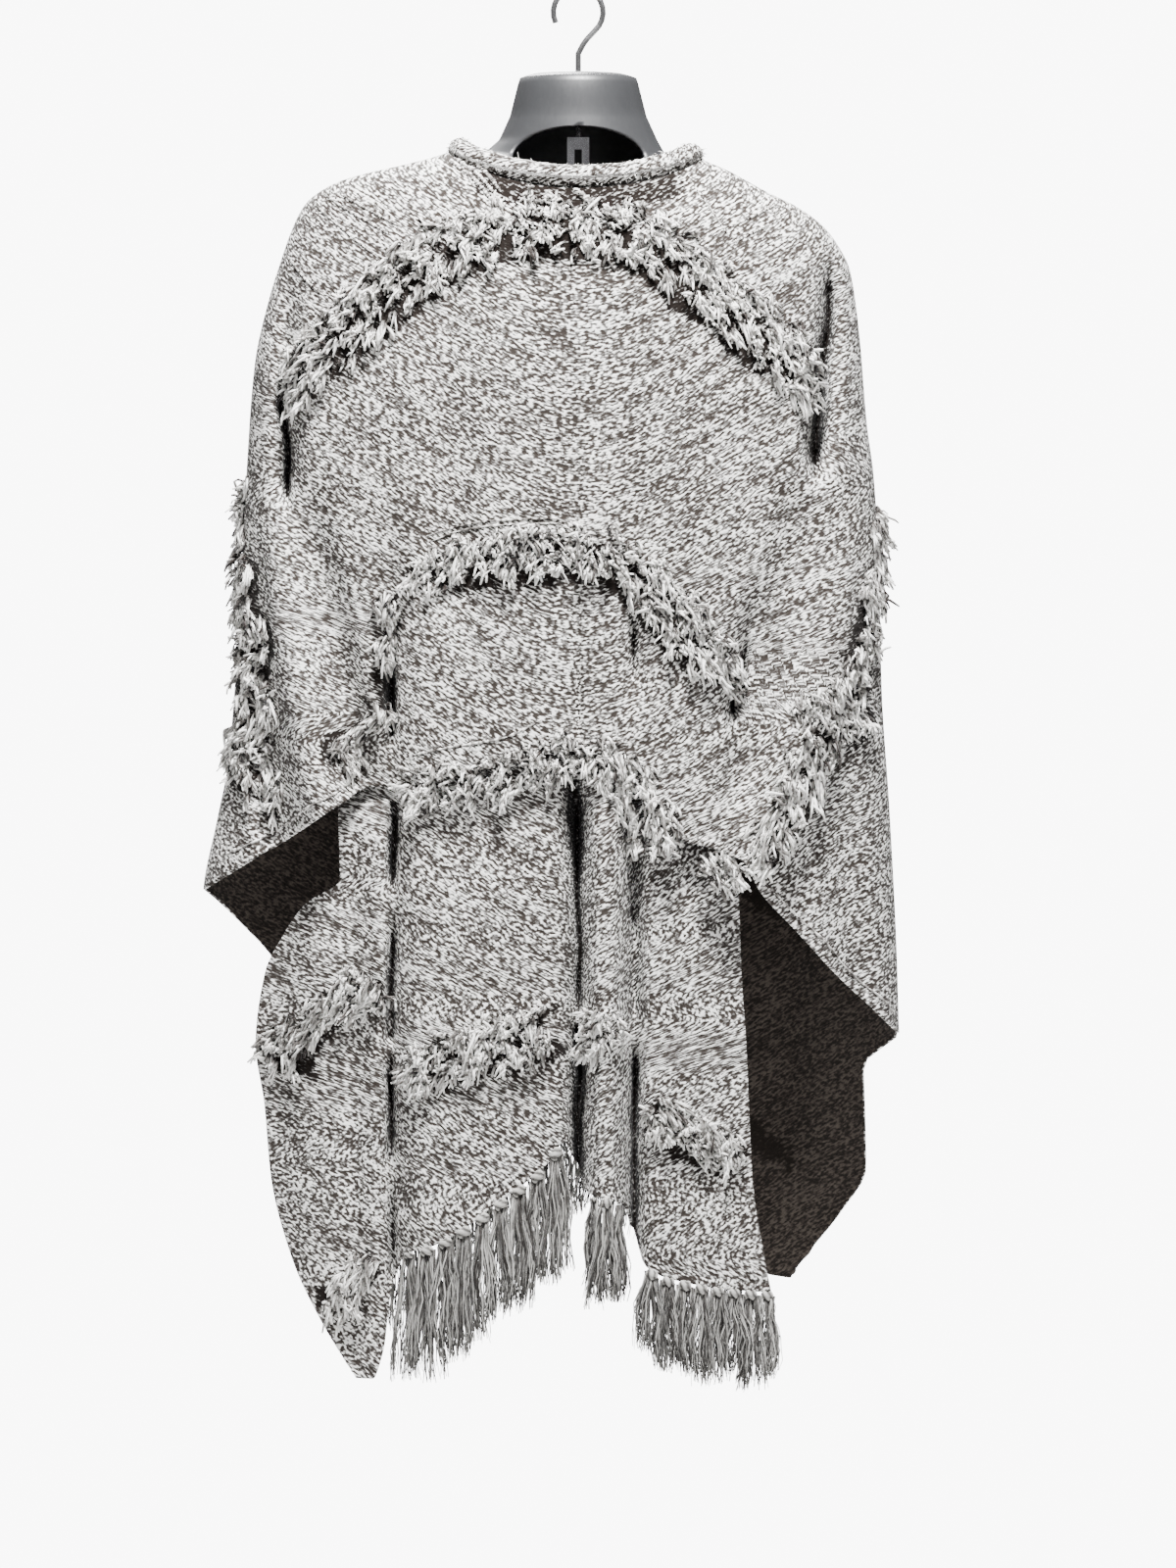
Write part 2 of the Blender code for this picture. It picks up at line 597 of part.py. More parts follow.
def band_object(band, y_of, tree, material, collection):
    """A backing strip laid on a sheet, with tapered locks drawn out of every other cell."""
    facing = 1 if band.sheet == "front" else -1
    cells = band.locks + 1
    line = resampled(band.path, 2 * cells + 1)[::2]
    centre = np.array([(x, float(y_of(np.array(x), np.array(z))), z) for x, z in line])
    touch = [seated(tree, point, facing) for point in centre]
    tangent = np.gradient(centre, axis=0)
    bm = bmesh.new()
    normals = softened([surface_normal(y_of, point, facing) for point in centre])
    feet, ups = [], []
    for (hit, _), way, normal in zip(touch, tangent, normals):
        up = np.cross(way, normal)
        up /= np.linalg.norm(up)
        feet.append(hit + normal * BAND_LIFT)
        ahead = ups[-1] if ups else np.array([0.0, 0.0, 1.0])
        ups.append(up if np.dot(up, ahead) > 0 else -up)
    feet = clear_feet(tree, np.array(feet), normals, np.array(ups))
    verts = []
    for foot, normal, up in zip(feet, normals, ups):
        section = ((1, 0), (1, 1), (0, 1), (-1, 1), (-1, 0))
        corners = [
            foot + up * rise * BAND_HALF_HEIGHT + normal * out * BAND_THICKNESS
            for rise, out in section
        ]
        verts.append([bm.verts.new(corner) for corner in corners])
    cells_of = {0: [], 1: []}
    sides = len(verts[0])
    for i in range(len(verts) - 1):
        for k in range(sides):
            a, b = verts[i][k], verts[i][(k + 1) % sides]
            c, d = verts[i + 1][(k + 1) % sides], verts[i + 1][k]
            face = bm.faces.new((a, b, c, d))
            if k in (1, 2):
                cells_of[k - 1].append(face)
    bm.faces.new(verts[0][::-1])
    bm.faces.new(verts[-1])
    face_outwards(bm)
    taken = [tree, BVHTree.FromBMesh(bm)]
    for i in range(len(verts) - 1):
        face = cells_of[i % 2][i]
        out = Vector(normals[i] + normals[i + 1]).normalized()
        draw_lock(bm, face, out, hang_way(ups[i] + ups[i + 1]), band.hang, taken)
    mesh = bpy.data.meshes.new(band.name)
    bm.to_mesh(mesh)
    bm.free()
    return new_object(band.name, mesh, material, collection)


def face_outwards(bm):
    """Turns a closed strip's faces outwards, by the sign of the volume that they enclose."""
    bmesh.ops.recalc_face_normals(bm, faces=bm.faces)
    if bm.calc_volume(signed=True) < 0:
        bmesh.ops.reverse_faces(bm, faces=bm.faces)


def surface_normal(y_of, point, facing):
    """Outward normal of a sheet, from how its depth changes beside the point."""
    near = 0.002
    x, z = point[0], point[2]
    limit = float(half_width(np.array(x < 0), np.array(z))) - 1e-5
    ends = np.clip(np.array([x - near, x + near]), -limit, limit)
    depth = y_of(ends, np.array([z, z]))
    slope_x = (depth[1] - depth[0]) / (ends[1] - ends[0])
    depth = y_of(np.array([x, x]), np.array([z - near, z + near]))
    slope_z = (depth[1] - depth[0]) / (2 * near)
    normal = np.array([-slope_x, 1.0, -slope_z]) * facing
    return normal / np.linalg.norm(normal)


def softened(normals):
    """Evens out a strip's directions, so that its locks don't lean into one another in a fold."""
    normals = np.array(normals)
    for _ in range(NORMAL_PASSES):
        ends = np.concatenate([normals[:1], normals, normals[-1:]])
        normals = (ends[:-2] + 2 * ends[1:-1] + ends[2:]) / 4
        normals /= np.linalg.norm(normals, axis=1)[:, None]
    return normals


def height_over(tree, spot, normal):
    """Height of a spot over the wall, measured straight back, or along the normal at the sides."""
    if abs(normal[1]) > 0.35:
        way = np.array([0.0, math.copysign(1.0, normal[1]), 0.0])
        start = spot + way * 0.1
    else:
        way = normal
        start = spot + way * 0.012
    hit, _, _, _ = tree.ray_cast(Vector(start), Vector(-way))
    if hit is None:
        return BAND_LIFT
    return float(np.dot(spot - np.array(hit), way) * abs(np.dot(way, normal)))


def between(first, second, share, rise):
    """Where a point of a strip's inner side may lie, whichever way its cell is split."""
    (a, b), (d, c) = first, second
    split = a + share * (d - a) + rise * (c - d) if share >= rise else a + rise * (b - a) + share * (c - b)
    if share + rise <= 1:
        other = a + share * (d - a) + rise * (b - a)
    else:
        other = c + (1 - share) * (b - c) + (1 - rise) * (d - c)
    return split, other


def clear_feet(tree, feet, normals, ups):
    """Lifts a strip's sections until its whole inner side, between them too, is clear of the wall."""
    feet = feet.copy()
    reach = ups * BAND_HALF_HEIGHT
    for _ in range(6):
        lift = np.zeros(len(feet))
        for i in range(len(feet) - 1):
            first = (feet[i] - reach[i], feet[i] + reach[i])
            second = (feet[i + 1] - reach[i + 1], feet[i + 1] + reach[i + 1])
            for share in np.linspace(0, 1, 9):
                normal = normals[i] * (1 - share) + normals[i + 1] * share
                normal /= np.linalg.norm(normal)
                for rise in np.linspace(0, 1, 9):
                    for spot in between(first, second, share, rise):
                        short = BAND_LIFT * 0.8 - height_over(tree, spot, normal)
                        lift[i] = max(lift[i], short)
                        lift[i + 1] = max(lift[i + 1], short)
        feet += normals * lift[:, None]
    return feet


def hang_way(up):
    """The way a lock falls: half way between straight down and square across a sloping strip."""
    up = up / np.linalg.norm(up)
    way = np.array([0.0, 0.0, -1.0]) - up * max(up[2], 0.0)
    return Vector(way / np.linalg.norm(way))


def lock_rings(face, out, way, hang):
    """The corners of a lock's sections, from its root to its tip: out from the cloth, then down."""
    root = [vert.co.copy() for vert in face.verts]
    middle = face.calc_center_median()
    ahead = out.normalized()
    lift = (ahead * way.dot(ahead) - way).normalized()
    rings = [root]
    for width, reach, fall, turn in LOCK_STEPS:
        target = middle + out * LOCK_REACH * reach + way * LOCK_HANG * hang * fall
        leaned = lift * math.cos(turn) + ahead * math.sin(turn)
        offs = [(corner - middle) * width for corner in root]
        rings.append([target + off + (leaned - lift) * off.dot(lift) for off in offs])
    return rings


def lock_tree(rings):
    """A slightly swollen copy of a lock, a little off its root, for finding what it would touch."""
    points = []
    for i, ring in enumerate(rings):
        middle = sum(ring, Vector()) / 4
        for corner, ahead in zip(ring, rings[1]):
            spot = middle + (corner - middle) * LOCK_SWELL if i else corner.lerp(ahead, LOCK_OFFSET)
            points.append(spot)
    faces = []
    for i in range(len(rings) - 1):
        for k in range(4):
            near, far = 4 * i + k, 4 * i + (k + 1) % 4
            faces.append((near, far, far + 4, near + 4))
    last = 4 * (len(rings) - 1)
    faces.append((last, last + 1, last + 2, last + 3))
    return BVHTree.FromPolygons(points, faces)


def draw_lock(bm, face, out, way, hang, taken):
    """Draws one tapered lock out of a face, as long as it can be without touching anything."""
    for size in LOCK_SIZES:
        rings = lock_rings(face, out * size, way * size, hang)
        swollen = lock_tree(rings)
        if any(swollen.overlap(other) for other in taken):
            continue
        made = face
        for ring in rings[1:]:
            made = bmesh.ops.extrude_discrete_faces(bm, faces=[made])["faces"][0]
            for vert, corner in zip(made.verts, ring):
                vert.co = corner
        taken.append(swollen)
        return


def hem_points(grid, fringe, count):
    """Points just under a hem, one either side of each tassel, low enough to clear it between them."""
    edge = grid[:, -1]
    edge = edge[np.argsort(edge[:, 0])]
    x = np.linspace(fringe.start, fringe.end, count)
    z = np.interp(x, edge[:, 0], edge[:, 2])
    fine = np.linspace(x[0], x[-1], 12 * count)
    for _ in range(6):
        over = np.interp(fine, x, z) - np.interp(fine, edge[:, 0], edge[:, 2])
        for i in range(count):
            near = np.abs(fine - x[i]) <= (x[1] - x[0])
            z[i] -= max(0.0, float(over[near].max()))
    return np.stack([x, np.interp(x, edge[:, 0], edge[:, 1]), z], axis=1)


def fringe_object(fringe, grid, material, collection):
    """A narrow strip just under the hem, and a knotted tassel drawn down from every other cell."""
    facing = 1 if fringe.sheet == "front" else -1
    cells = 2 * fringe.tassels - 1
    edge = hem_points(grid, fringe, cells + 1)
    inner = np.array([0, -facing * CLOTH / 2, 0])
    bm = bmesh.new()
    rings = []
    for point in edge:
        centre = point + inner - np.array([0, 0, fringe.drop])
        half = FRINGE_THICKNESS / 2
        ring = [
            centre + np.array([0, y, z])
            for y, z in ((-half, 0), (-half, -FRINGE_STRIP), (half, -FRINGE_STRIP), (half, 0))
        ]
        rings.append([bm.verts.new(corner) for corner in ring])
    undersides = []
    ways = []
    for first, second in zip(rings, rings[1:]):
        ways.append(second[1].co - first[1].co)
        for k in range(4):
            quad = (first[k], first[(k + 1) % 4], second[(k + 1) % 4], second[k])
            face = bm.faces.new(quad)
            if k == 1:
                undersides.append(face)
    bm.faces.new(rings[0][::-1])
    bm.faces.new(rings[-1])
    face_outwards(bm)
    for i, (face, way) in enumerate(zip(undersides[::2], ways[::2])):
        draw_tassel(bm, face, fringe.length * (1 + 0.06 * math.sin(2.4 * i)), way)
    mesh = bpy.data.meshes.new(fringe.name)
    bm.to_mesh(mesh)
    bm.free()
    return new_object(fringe.name, mesh, material, collection)


def draw_tassel(bm, face, length, way):
    """Neck, knot and strands of one tassel, as one four-sided tapering lock."""
    start = face.calc_center_median()
    way = Vector((way[0], way[1], 0.0))
    half_x = min(way.length / 2, TASSEL_HALF_WIDTH)
    way.normalize()
    turned = Vector((-way.y, way.x, 0.0))
    made = face
    half_y = FRINGE_THICKNESS / 2
    for fall, width in KNOT_STEPS + tuple((share * length, width) for share, width in STRAND_STEPS):
        grown = bmesh.ops.extrude_discrete_faces(bm, faces=[made])
        made = grown["faces"][0]
        centre = made.calc_center_median()
        for vert in made.verts:
            off = vert.co - centre
            side_x = 1 if off.dot(way) > 0 else -1
            side_y = 1 if off.dot(turned) > 0 else -1
            vert.co = start + way * side_x * half_x * width + turned * side_y * half_y * width
            vert.co.z -= fall


def roll_path(grid):
    """Middle line of the neck roll along one sheet: its top edge, carried on past the seam gap."""
    edge = grid[:, 0]
    way = grid[:, 0] - grid[:, 1]
    way /= np.linalg.norm(way, axis=1)[:, None]
    return edge + way * (ROLL_RADIUS + ROLL_GAP)


def tube_object(name, points, radius, closed, material, collection, sides=2):
    curve = bpy.data.curves.new(name, "CURVE")
    curve.dimensions = "3D"
    curve.bevel_depth = radius
    curve.bevel_resolution = sides
    curve.use_fill_caps = not closed
    spline = curve.splines.new("POLY")
    spline.points.add(len(points) - 1)
    for spot, point in zip(spline.points, points):
        spot.co = (*point, 1.0)
    spline.use_cyclic_u = closed
    return new_object(name, curve, material, collection)


def neck_roll(back, front, material, collection):
    path = np.concatenate([roll_path(back), roll_path(front)[::-1]])
    closed = np.concatenate([path, path[:1]])
    even = resampled_loop(closed, 44)
    return tube_object("neck_roll", even, ROLL_RADIUS, True, material, collection)


def resampled_loop(points, count):
    """Evenly spaced points round a closed line, softened once where its halves meet."""
    run = np.concatenate([[0], np.cumsum(np.linalg.norm(np.diff(points, axis=0), axis=1))])
    at = np.linspace(0, run[-1], count, endpoint=False)
    return np.stack([np.interp(at, run, points[:, k]) for k in range(3)], axis=1)


def form_shell(material, collection, cutters):
    """The hollow torso form: turned neck, shoulders and waist, open below and behind."""
    levels = np.array(FORM_LEVELS)
    turn = np.linspace(0, 2 * math.pi, FORM_SIDES, endpoint=False)
    across, deep = np.cos(turn), np.sin(turn)
    points = []
    for z, left, right, behind, front in levels:
        x = np.where(across < 0, left, right) * across
        y = np.where(deep < 0, behind, front) * deep
        points += list(zip(x, y, np.full(FORM_SIDES, z)))
    faces = []
    for j in range(len(levels) - 1):
        for i in range(FORM_SIDES):
            k = (i + 1) % FORM_SIDES
            a, b = j * FORM_SIDES, (j + 1) * FORM_SIDES
            faces.append((a + i, b + i, b + k, a + k))
    mesh = bpy.data.meshes.new("form_shell")
    mesh.from_pydata(points, [], faces)
    mesh.shade_smooth()
    obj = new_object("form_shell", mesh, material, collection)
    wall = obj.modifiers.new("wall", "SOLIDIFY")
    wall.thickness = FORM_WALL
    wall.offset = -1.0
    cut = obj.modifiers.new("open back", "BOOLEAN")
    cut.operation = "DIFFERENCE"
    cut.object = arch_cutter(cutters)
    return obj


def arch_cutter(cutters):
    """An arch in the neck that widens into the form's open back."""
    turn = np.linspace(0, math.pi, 13)
    arch = [(ARCH_HALF_WIDTH * math.cos(t), ARCH_SPRING + (ARCH_TOP - ARCH_SPRING) * math.sin(t))
            for t in turn]
    foot = FORM_LEVELS[-1][0] - 0.02
    wide = BACK_OPENING_HALF_WIDTH
    outline = arch + [(-ARCH_HALF_WIDTH, -0.165), (-wide, BACK_OPENING_TOP), (-wide, foot)]
    outline += [(wide, foot), (wide, BACK_OPENING_TOP), (ARCH_HALF_WIDTH, -0.165)]
    bm = bmesh.new()
    near = [bm.verts.new((x, -0.200, z)) for x, z in outline]
    flat = bm.faces.new(near)
    grown = bmesh.ops.extrude_face_region(bm, geom=[flat])
    for item in grown["geom"]:
        if isinstance(item, bmesh.types.BMVert):
            item.co.y = -0.012
    bmesh.ops.recalc_face_normals(bm, faces=bm.faces)
    mesh = bpy.data.meshes.new("back_cutter")
    bm.to_mesh(mesh)
    bm.free()
    cutter = bpy.data.objects.new("back_cutter", mesh)
    cutter.hide_render = True
    cutter.display_type = "WIRE"
    cutters.objects.link(cutter)
    return cutter


def hook(material, collection):
    """The hook's wire: round its rail, back to the middle and down through the form's neck."""
    radius = HOOK_INNER_RADIUS + WIRE_RADIUS
    centre_z = -HOOK_INNER_RADIUS
    arc = [
        (radius * math.cos(t), 0.0, centre_z + radius * math.sin(t))
        for t in np.radians(np.linspace(205, -48, 18))
    ]
    bend = resampled([arc[-1], (0.0052, 0.0, -0.0425), (0.0, 0.0, STEM_TOP)], 6)[1:]
    foot = [(0.0, 0.0, z) for z in np.linspace(STEM_TOP, STEM_FOOT, 5)[1:]]
    return tube_object("hook", arc + [tuple(p) for p in bend] + foot, WIRE_RADIUS, False,
                       material, collection)


def hook_clip(material, collection):
    """The clip at the hook's foot: a block under the wire with two prongs below it."""
    bm = bmesh.new()
    bmesh.ops.create_cube(bm, size=1.0)
    middle_z = STEM_FOOT - SEAM_GAP - CLIP_SIZE[2] / 2
    bmesh.ops.scale(bm, vec=CLIP_SIZE, verts=bm.verts)
    bmesh.ops.translate(bm, vec=(0.0, 0.0, middle_z), verts=bm.verts)
    bmesh.ops.subdivide_edges(
        bm, edges=[e for e in bm.edges if abs(e.verts[0].co.x - e.verts[1].co.x) > 0.01], cuts=2
    )
    low = [f for f in bm.faces if f.normal.z < -0.9 and abs(f.calc_center_median().x) > 0.004]
    for face in low:
        grown = bmesh.ops.extrude_discrete_faces(bm, faces=[face])
        for vert in grown["faces"][0].verts:
            vert.co.z -= PRONG_LENGTH
    mesh = bpy.data.meshes.new("hook_clip")
    bm.to_mesh(mesh)
    bm.free()
    return new_object("hook_clip", mesh, material, collection)


def main():
    for obj in list(bpy.data.objects):
        bpy.data.objects.remove(obj, do_unlink=True)
    collection = bpy.data.collections.new(NAME)
    cutters = bpy.data.collections.new("cutters")
    for made in (collection, cutters):
        bpy.context.scene.collection.children.link(made)

    grids = {"upper": upper_grid(), "lower": lower_grid(), "front": front_grid()}
    depths = {"upper": upper_y, "lower": lower_y, "front": front_y}
    sheets = {}
    for key, name in (("upper", "back_upper"), ("lower", "back_lower"), ("front", "front_cloth")):
        material = new_material(name, (0.42, 0.40, 0.38), 0.9)
        sheets[key] = sheet_object(name, grids[key], key != "front", material, collection)
    bpy.context.view_layer.update()
    trees = {key: surface_tree(obj) for key, obj in sheets.items()}

    roll = new_material("neck_roll", (0.46, 0.44, 0.42), 0.9)
    neck_roll(grids["upper"], grids["front"], roll, collection)
    for band in BACK_BANDS + FRONT_BANDS:
        material = new_material(band.name, (0.50, 0.47, 0.44), 0.95)
        band_object(band, depths[band.sheet], trees[band.sheet], material, collection)
    for fringe in FRINGES:
        material = new_material(fringe.name, (0.36, 0.33, 0.31), 0.95)
        fringe_object(fringe, grids[fringe.sheet], material, collection)

    form_shell(new_material("form_shell", (0.26, 0.26, 0.27), 0.45), collection, cutters)
    metal = new_material("hook", (0.75, 0.75, 0.76), 0.3, 1.0)
    hook(metal, collection)
    hook_clip(new_material("hook_clip", (0.75, 0.75, 0.76), 0.3, 1.0), collection)


main()
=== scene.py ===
"""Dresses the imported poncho: marled cloth, yarn shag, knotted fringe, torso form and hook.

Metres, +Z up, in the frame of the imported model. The origin is where the hook bears on its rail, so
every height is negative. The garment's back faces -Y, its left as it is seen from behind is -X.
"""

import logging
import math
from dataclasses import dataclass, field
from enum import Enum
from typing import Callable, Sequence

import bpy
import numpy as np
from numpy.typing import NDArray
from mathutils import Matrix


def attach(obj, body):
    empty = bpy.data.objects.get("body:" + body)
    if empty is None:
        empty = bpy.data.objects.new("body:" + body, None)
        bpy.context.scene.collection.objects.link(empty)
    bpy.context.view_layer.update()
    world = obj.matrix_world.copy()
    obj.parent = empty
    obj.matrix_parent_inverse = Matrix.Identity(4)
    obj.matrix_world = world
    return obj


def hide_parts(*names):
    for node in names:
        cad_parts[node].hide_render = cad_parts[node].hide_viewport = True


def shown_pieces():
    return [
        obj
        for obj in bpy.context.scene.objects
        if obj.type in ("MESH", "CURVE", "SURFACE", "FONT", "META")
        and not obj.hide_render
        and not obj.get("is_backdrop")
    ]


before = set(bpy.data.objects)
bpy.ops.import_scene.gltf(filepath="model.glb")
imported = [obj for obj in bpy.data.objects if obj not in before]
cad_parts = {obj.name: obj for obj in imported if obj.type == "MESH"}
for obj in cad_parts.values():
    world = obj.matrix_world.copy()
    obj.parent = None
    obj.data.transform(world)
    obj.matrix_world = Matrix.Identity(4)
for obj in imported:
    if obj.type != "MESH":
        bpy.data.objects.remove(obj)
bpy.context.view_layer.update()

Array = NDArray[np.float64]
Table = tuple[tuple[float, ...], ...]
Maker = Callable[["Graph"], None]

LOG = logging.getLogger("poncho")
BODY = "root"


class Side(Enum):
    """The two faces of the garment, by the sign of Y that each one looks along."""

    BACK = -1
    FRONT = 1


class Slot(Enum):
    """The record's material slots."""

    CLOTH = "marled_cloth"
    SHAG = "shag_yarn"
    FRINGE = "fringe_yarn"
    PLASTIC = "grey_plastic"
    METAL = "plated_steel"


# Curves through tables of sizes


def smooth(stops: Sequence[float], values: Sequence[float], at: Array) -> Array:
    """Reads a monotone cubic through the stops: its slope at a stop is the weighted harmonic mean
    of the slopes either side, or nothing where they differ in sign.

    Args:
        stops: Rising positions.
        values: The value at each stop.
        at: Positions to read.

    Returns:
        The values there, held at the end values outside the stops.
    """
    stops, values = np.asarray(stops, float), np.asarray(values, float)
    step = np.diff(stops)
    slope = np.diff(values) / step
    lean = np.zeros_like(values)
    both = slope[:-1] * slope[1:]
    ahead, behind = 2 * step[1:] + step[:-1], step[1:] + 2 * step[:-1]
    safe_a = np.where(both > 0, slope[:-1], 1.0)
    safe_b = np.where(both > 0, slope[1:], 1.0)
    mean = (ahead + behind) / (ahead / safe_a + behind / safe_b)
    lean[1:-1] = np.where(both > 0, mean, 0.0)
    lean[0], lean[-1] = slope[0], slope[-1]
    at = np.clip(at, stops[0], stops[-1])
    i = np.clip(np.searchsorted(stops, at) - 1, 0, len(step) - 1)
    t = (at - stops[i]) / step[i]
    start = (1 + 2 * t) * (1 - t) ** 2 * values[i] + t * (1 - t) ** 2 * step[i] * lean[i]
    finish = t * t * (3 - 2 * t) * values[i + 1] - t * t * (1 - t) * step[i] * lean[i + 1]
    return start + finish


def column(table: Table, index: int, z: Array) -> Array:
    """Reads one column of a table whose first column is height, falling.

    Args:
        table: Rows of sizes, highest first.
        index: The column to read.
        z: Heights.

    Returns:
        The column's value at each height.
    """
    rows = np.asarray(table)[::-1]
    return smooth(rows[:, 0], rows[:, index], z)


def along(table: Table, x: Array) -> Array:
    """Reads the second column of a table whose first column is x, rising.

    Args:
        table: Rows of x and height.
        x: Positions across.

    Returns:
        The height at each position.
    """
    rows = np.asarray(table)
    return smooth(rows[:, 0], rows[:, 1], x)


def ramp(value: Array) -> Array:
    """Returns a smooth step from 0 to 1: three times the square less twice the cube."""
    value = np.clip(value, 0.0, 1.0)
    return value * value * (3 - 2 * value)


def lumps(x: Array, y: Array, cell: float, seed: int) -> Array:
    """Smooth lumps between -1 and 1: random values on a square lattice, blended by the smooth step.

    Args:
        x: First coordinate, metres.
        y: Second coordinate, metres.
        cell: Size of one lattice cell, metres.
        seed: Picks the lattice.

    Returns:
        One value for each point.
    """
    lattice = np.random.default_rng(seed).uniform(-1, 1, (128, 128))
    gx, gy = np.asarray(x) / cell, np.asarray(y) / cell
    ix, iy = np.floor(gx).astype(int), np.floor(gy).astype(int)
    fx, fy = ramp(gx - ix), ramp(gy - iy)
    a, b = lattice[ix % 128, iy % 128], lattice[(ix + 1) % 128, iy % 128]
    c, d = lattice[ix % 128, (iy + 1) % 128], lattice[(ix + 1) % 128, (iy + 1) % 128]
    return (a + (b - a) * fx) * (1 - fy) + (c + (d - c) * fx) * fy


def resampled(points: Array, count: int) -> Array:
    """Spaces points evenly along a smooth curve through the given ones.

    Args:
        points: Points in order, one in each row.
        count: How many to return.

    Returns:
        The evenly spaced points.
    """
    points = np.asarray(points, float)
    run = np.concatenate([[0], np.cumsum(np.linalg.norm(np.diff(points, axis=0), axis=1))])
    fine = np.linspace(0, run[-1], 600)
    curve = np.stack([smooth(run, points[:, k], fine) for k in range(points.shape[1])], axis=1)
    length = np.concatenate([[0], np.cumsum(np.linalg.norm(np.diff(curve, axis=0), axis=1))])
    at = np.linspace(0, length[-1], count)
    return np.stack([np.interp(at, length, curve[:, k]) for k in range(points.shape[1])], axis=1)


# Meshes from arrays


def grid_faces(columns: int, rows: int, flip: bool = False, closed: bool = False) -> Array:
    """Quads of a grid whose points run down each column in turn.

    Args:
        columns: Number of columns.
        rows: Points in each column.
        flip: Turns the faces over.
        closed: Joins the last column to the first.

    Returns:
        Four indices in each row.
    """
    i = np.arange(columns if closed else columns - 1)
    near = (i[:, None] * rows + np.arange(rows - 1)[None, :]).reshape(-1)
    far = (((i + 1) % columns)[:, None] * rows + np.arange(rows - 1)[None, :]).reshape(-1)
    quads = np.stack([near, near + 1, far + 1, far], axis=1)
    return quads[:, ::-1] if flip else quads


def new_piece(
    name: str,
    points: Array,
    faces: Sequence[Sequence[int]],
    uv: Array | None = None,
    tone: Array | None = None,
) -> bpy.types.Object:
    """Makes a smooth-shaded mesh object whose origin is the frame's.

    Args:
        name: The piece's name.
        points: One vertex in each row.
        faces: Indices of each face's vertices.
        uv: Two coordinates for each vertex, in metres along the cloth.
        tone: One shade for each vertex, 0 dark to 1 pale.

    Returns:
        The object, linked into the scene.
    """
    mesh = bpy.data.meshes.new(name)
    mesh.from_pydata(points.reshape(-1, 3).tolist(), [], faces)
    if uv is not None:
        corner = np.empty(len(mesh.loops), np.int32)
        mesh.loops.foreach_get("vertex_index", corner)
        layer = mesh.uv_layers.new(name="cloth")
        layer.data.foreach_set("uv", uv.reshape(-1, 2)[corner].astype(np.float32).reshape(-1))
    if tone is not None:
        shade = mesh.attributes.new("tone", "FLOAT", "POINT")
        shade.data.foreach_set("value", tone.reshape(-1).astype(np.float32))
    mesh.shade_smooth()
    obj = bpy.data.objects.new(name, mesh)
    bpy.context.scene.collection.objects.link(obj)
    return obj


def yarns(
    name: str, lines: Array, radii: Array, tone: Array, sides: int = 3
) -> bpy.types.Object:
    """Makes many yarns in one mesh: a small ring carried along each centre line, closed at its ends.

    A ring's point is the centre plus the radius times the cosine of its turn along one cross
    direction and the sine along the other.

    Args:
        name: The piece's name.
        lines: Centre lines, as yarn by point by 3.
        radii: The radius at each point.
        tone: One shade for each point.
        sides: Points in a ring.

    Returns:
        The object.
    """
    count, steps = radii.shape
    way = np.gradient(lines, axis=1)
    way /= np.maximum(np.linalg.norm(way, axis=2, keepdims=True), 1e-9)
    guide = np.random.default_rng(count).normal(size=(count, 1, 3))
    first = np.cross(way, guide)
    first /= np.maximum(np.linalg.norm(first, axis=2, keepdims=True), 1e-9)
    second = np.cross(way, first)
    turn = np.arange(sides) * 2 * math.pi / sides
    ring = first[:, :, None] * np.cos(turn)[:, None] + second[:, :, None] * np.sin(turn)[:, None]
    points = lines[:, :, None] + ring * radii[:, :, None, None]
    at = np.arange(count * steps * sides).reshape(count, steps, sides)
    near, far = at[:, :-1], at[:, 1:]
    quads = np.stack([near, np.roll(near, -1, 2), np.roll(far, -1, 2), far], axis=-1)
    caps = np.concatenate([at[:, 0, ::-1], at[:, -1]])
    shade = np.repeat(tone[:, :, None], sides, axis=2)
    faces = quads.reshape(-1, 4).tolist() + caps.tolist()
    return new_piece(name, points, faces, tone=shade)


# The cloth's form


@dataclass(frozen=True)
class Crease:
    """A fold line that presses the cloth inwards. A negative depth is a swell."""

    x_top: float
    top: float
    x_end: float
    end: float
    half_width: float
    depth_top: float
    depth_end: float
    fade: float = 0.06
    sharp: bool = False
    wobble: float = 0.0

    def press(self, x: Array, z: Array) -> Array:
        """How far this crease presses inwards: a bell or a V across it, faded at both ends.

        Its line sways and its width varies down its length by soft lumps.

        Args:
            x: Positions across.
            z: Heights.

        Returns:
            The depth at each point.
        """
        share = np.clip((self.top - z) / (self.top - self.end), 0, 1)
        middle = self.x_top + (self.x_end - self.x_top) * share
        depth = self.depth_top + (self.depth_end - self.depth_top) * share
        middle = middle + self.wobble * lumps(z, 0.0 * z + self.x_top, 0.034, 31)
        vary = 1 + 90 * self.wobble * lumps(z, 0.0 * z + self.x_top, 0.021, 32)
        off = np.clip(np.abs(x - middle) / (self.half_width * vary), 0, 1)
        shape = (1 - off) ** 2 * (1 + 0.6 * off) if self.sharp else (1 - off**2) ** 2
        start = ramp((self.top - z) / self.fade + 0.5)
        return depth * shape * start * ramp((z - self.end) / self.fade + 0.5)


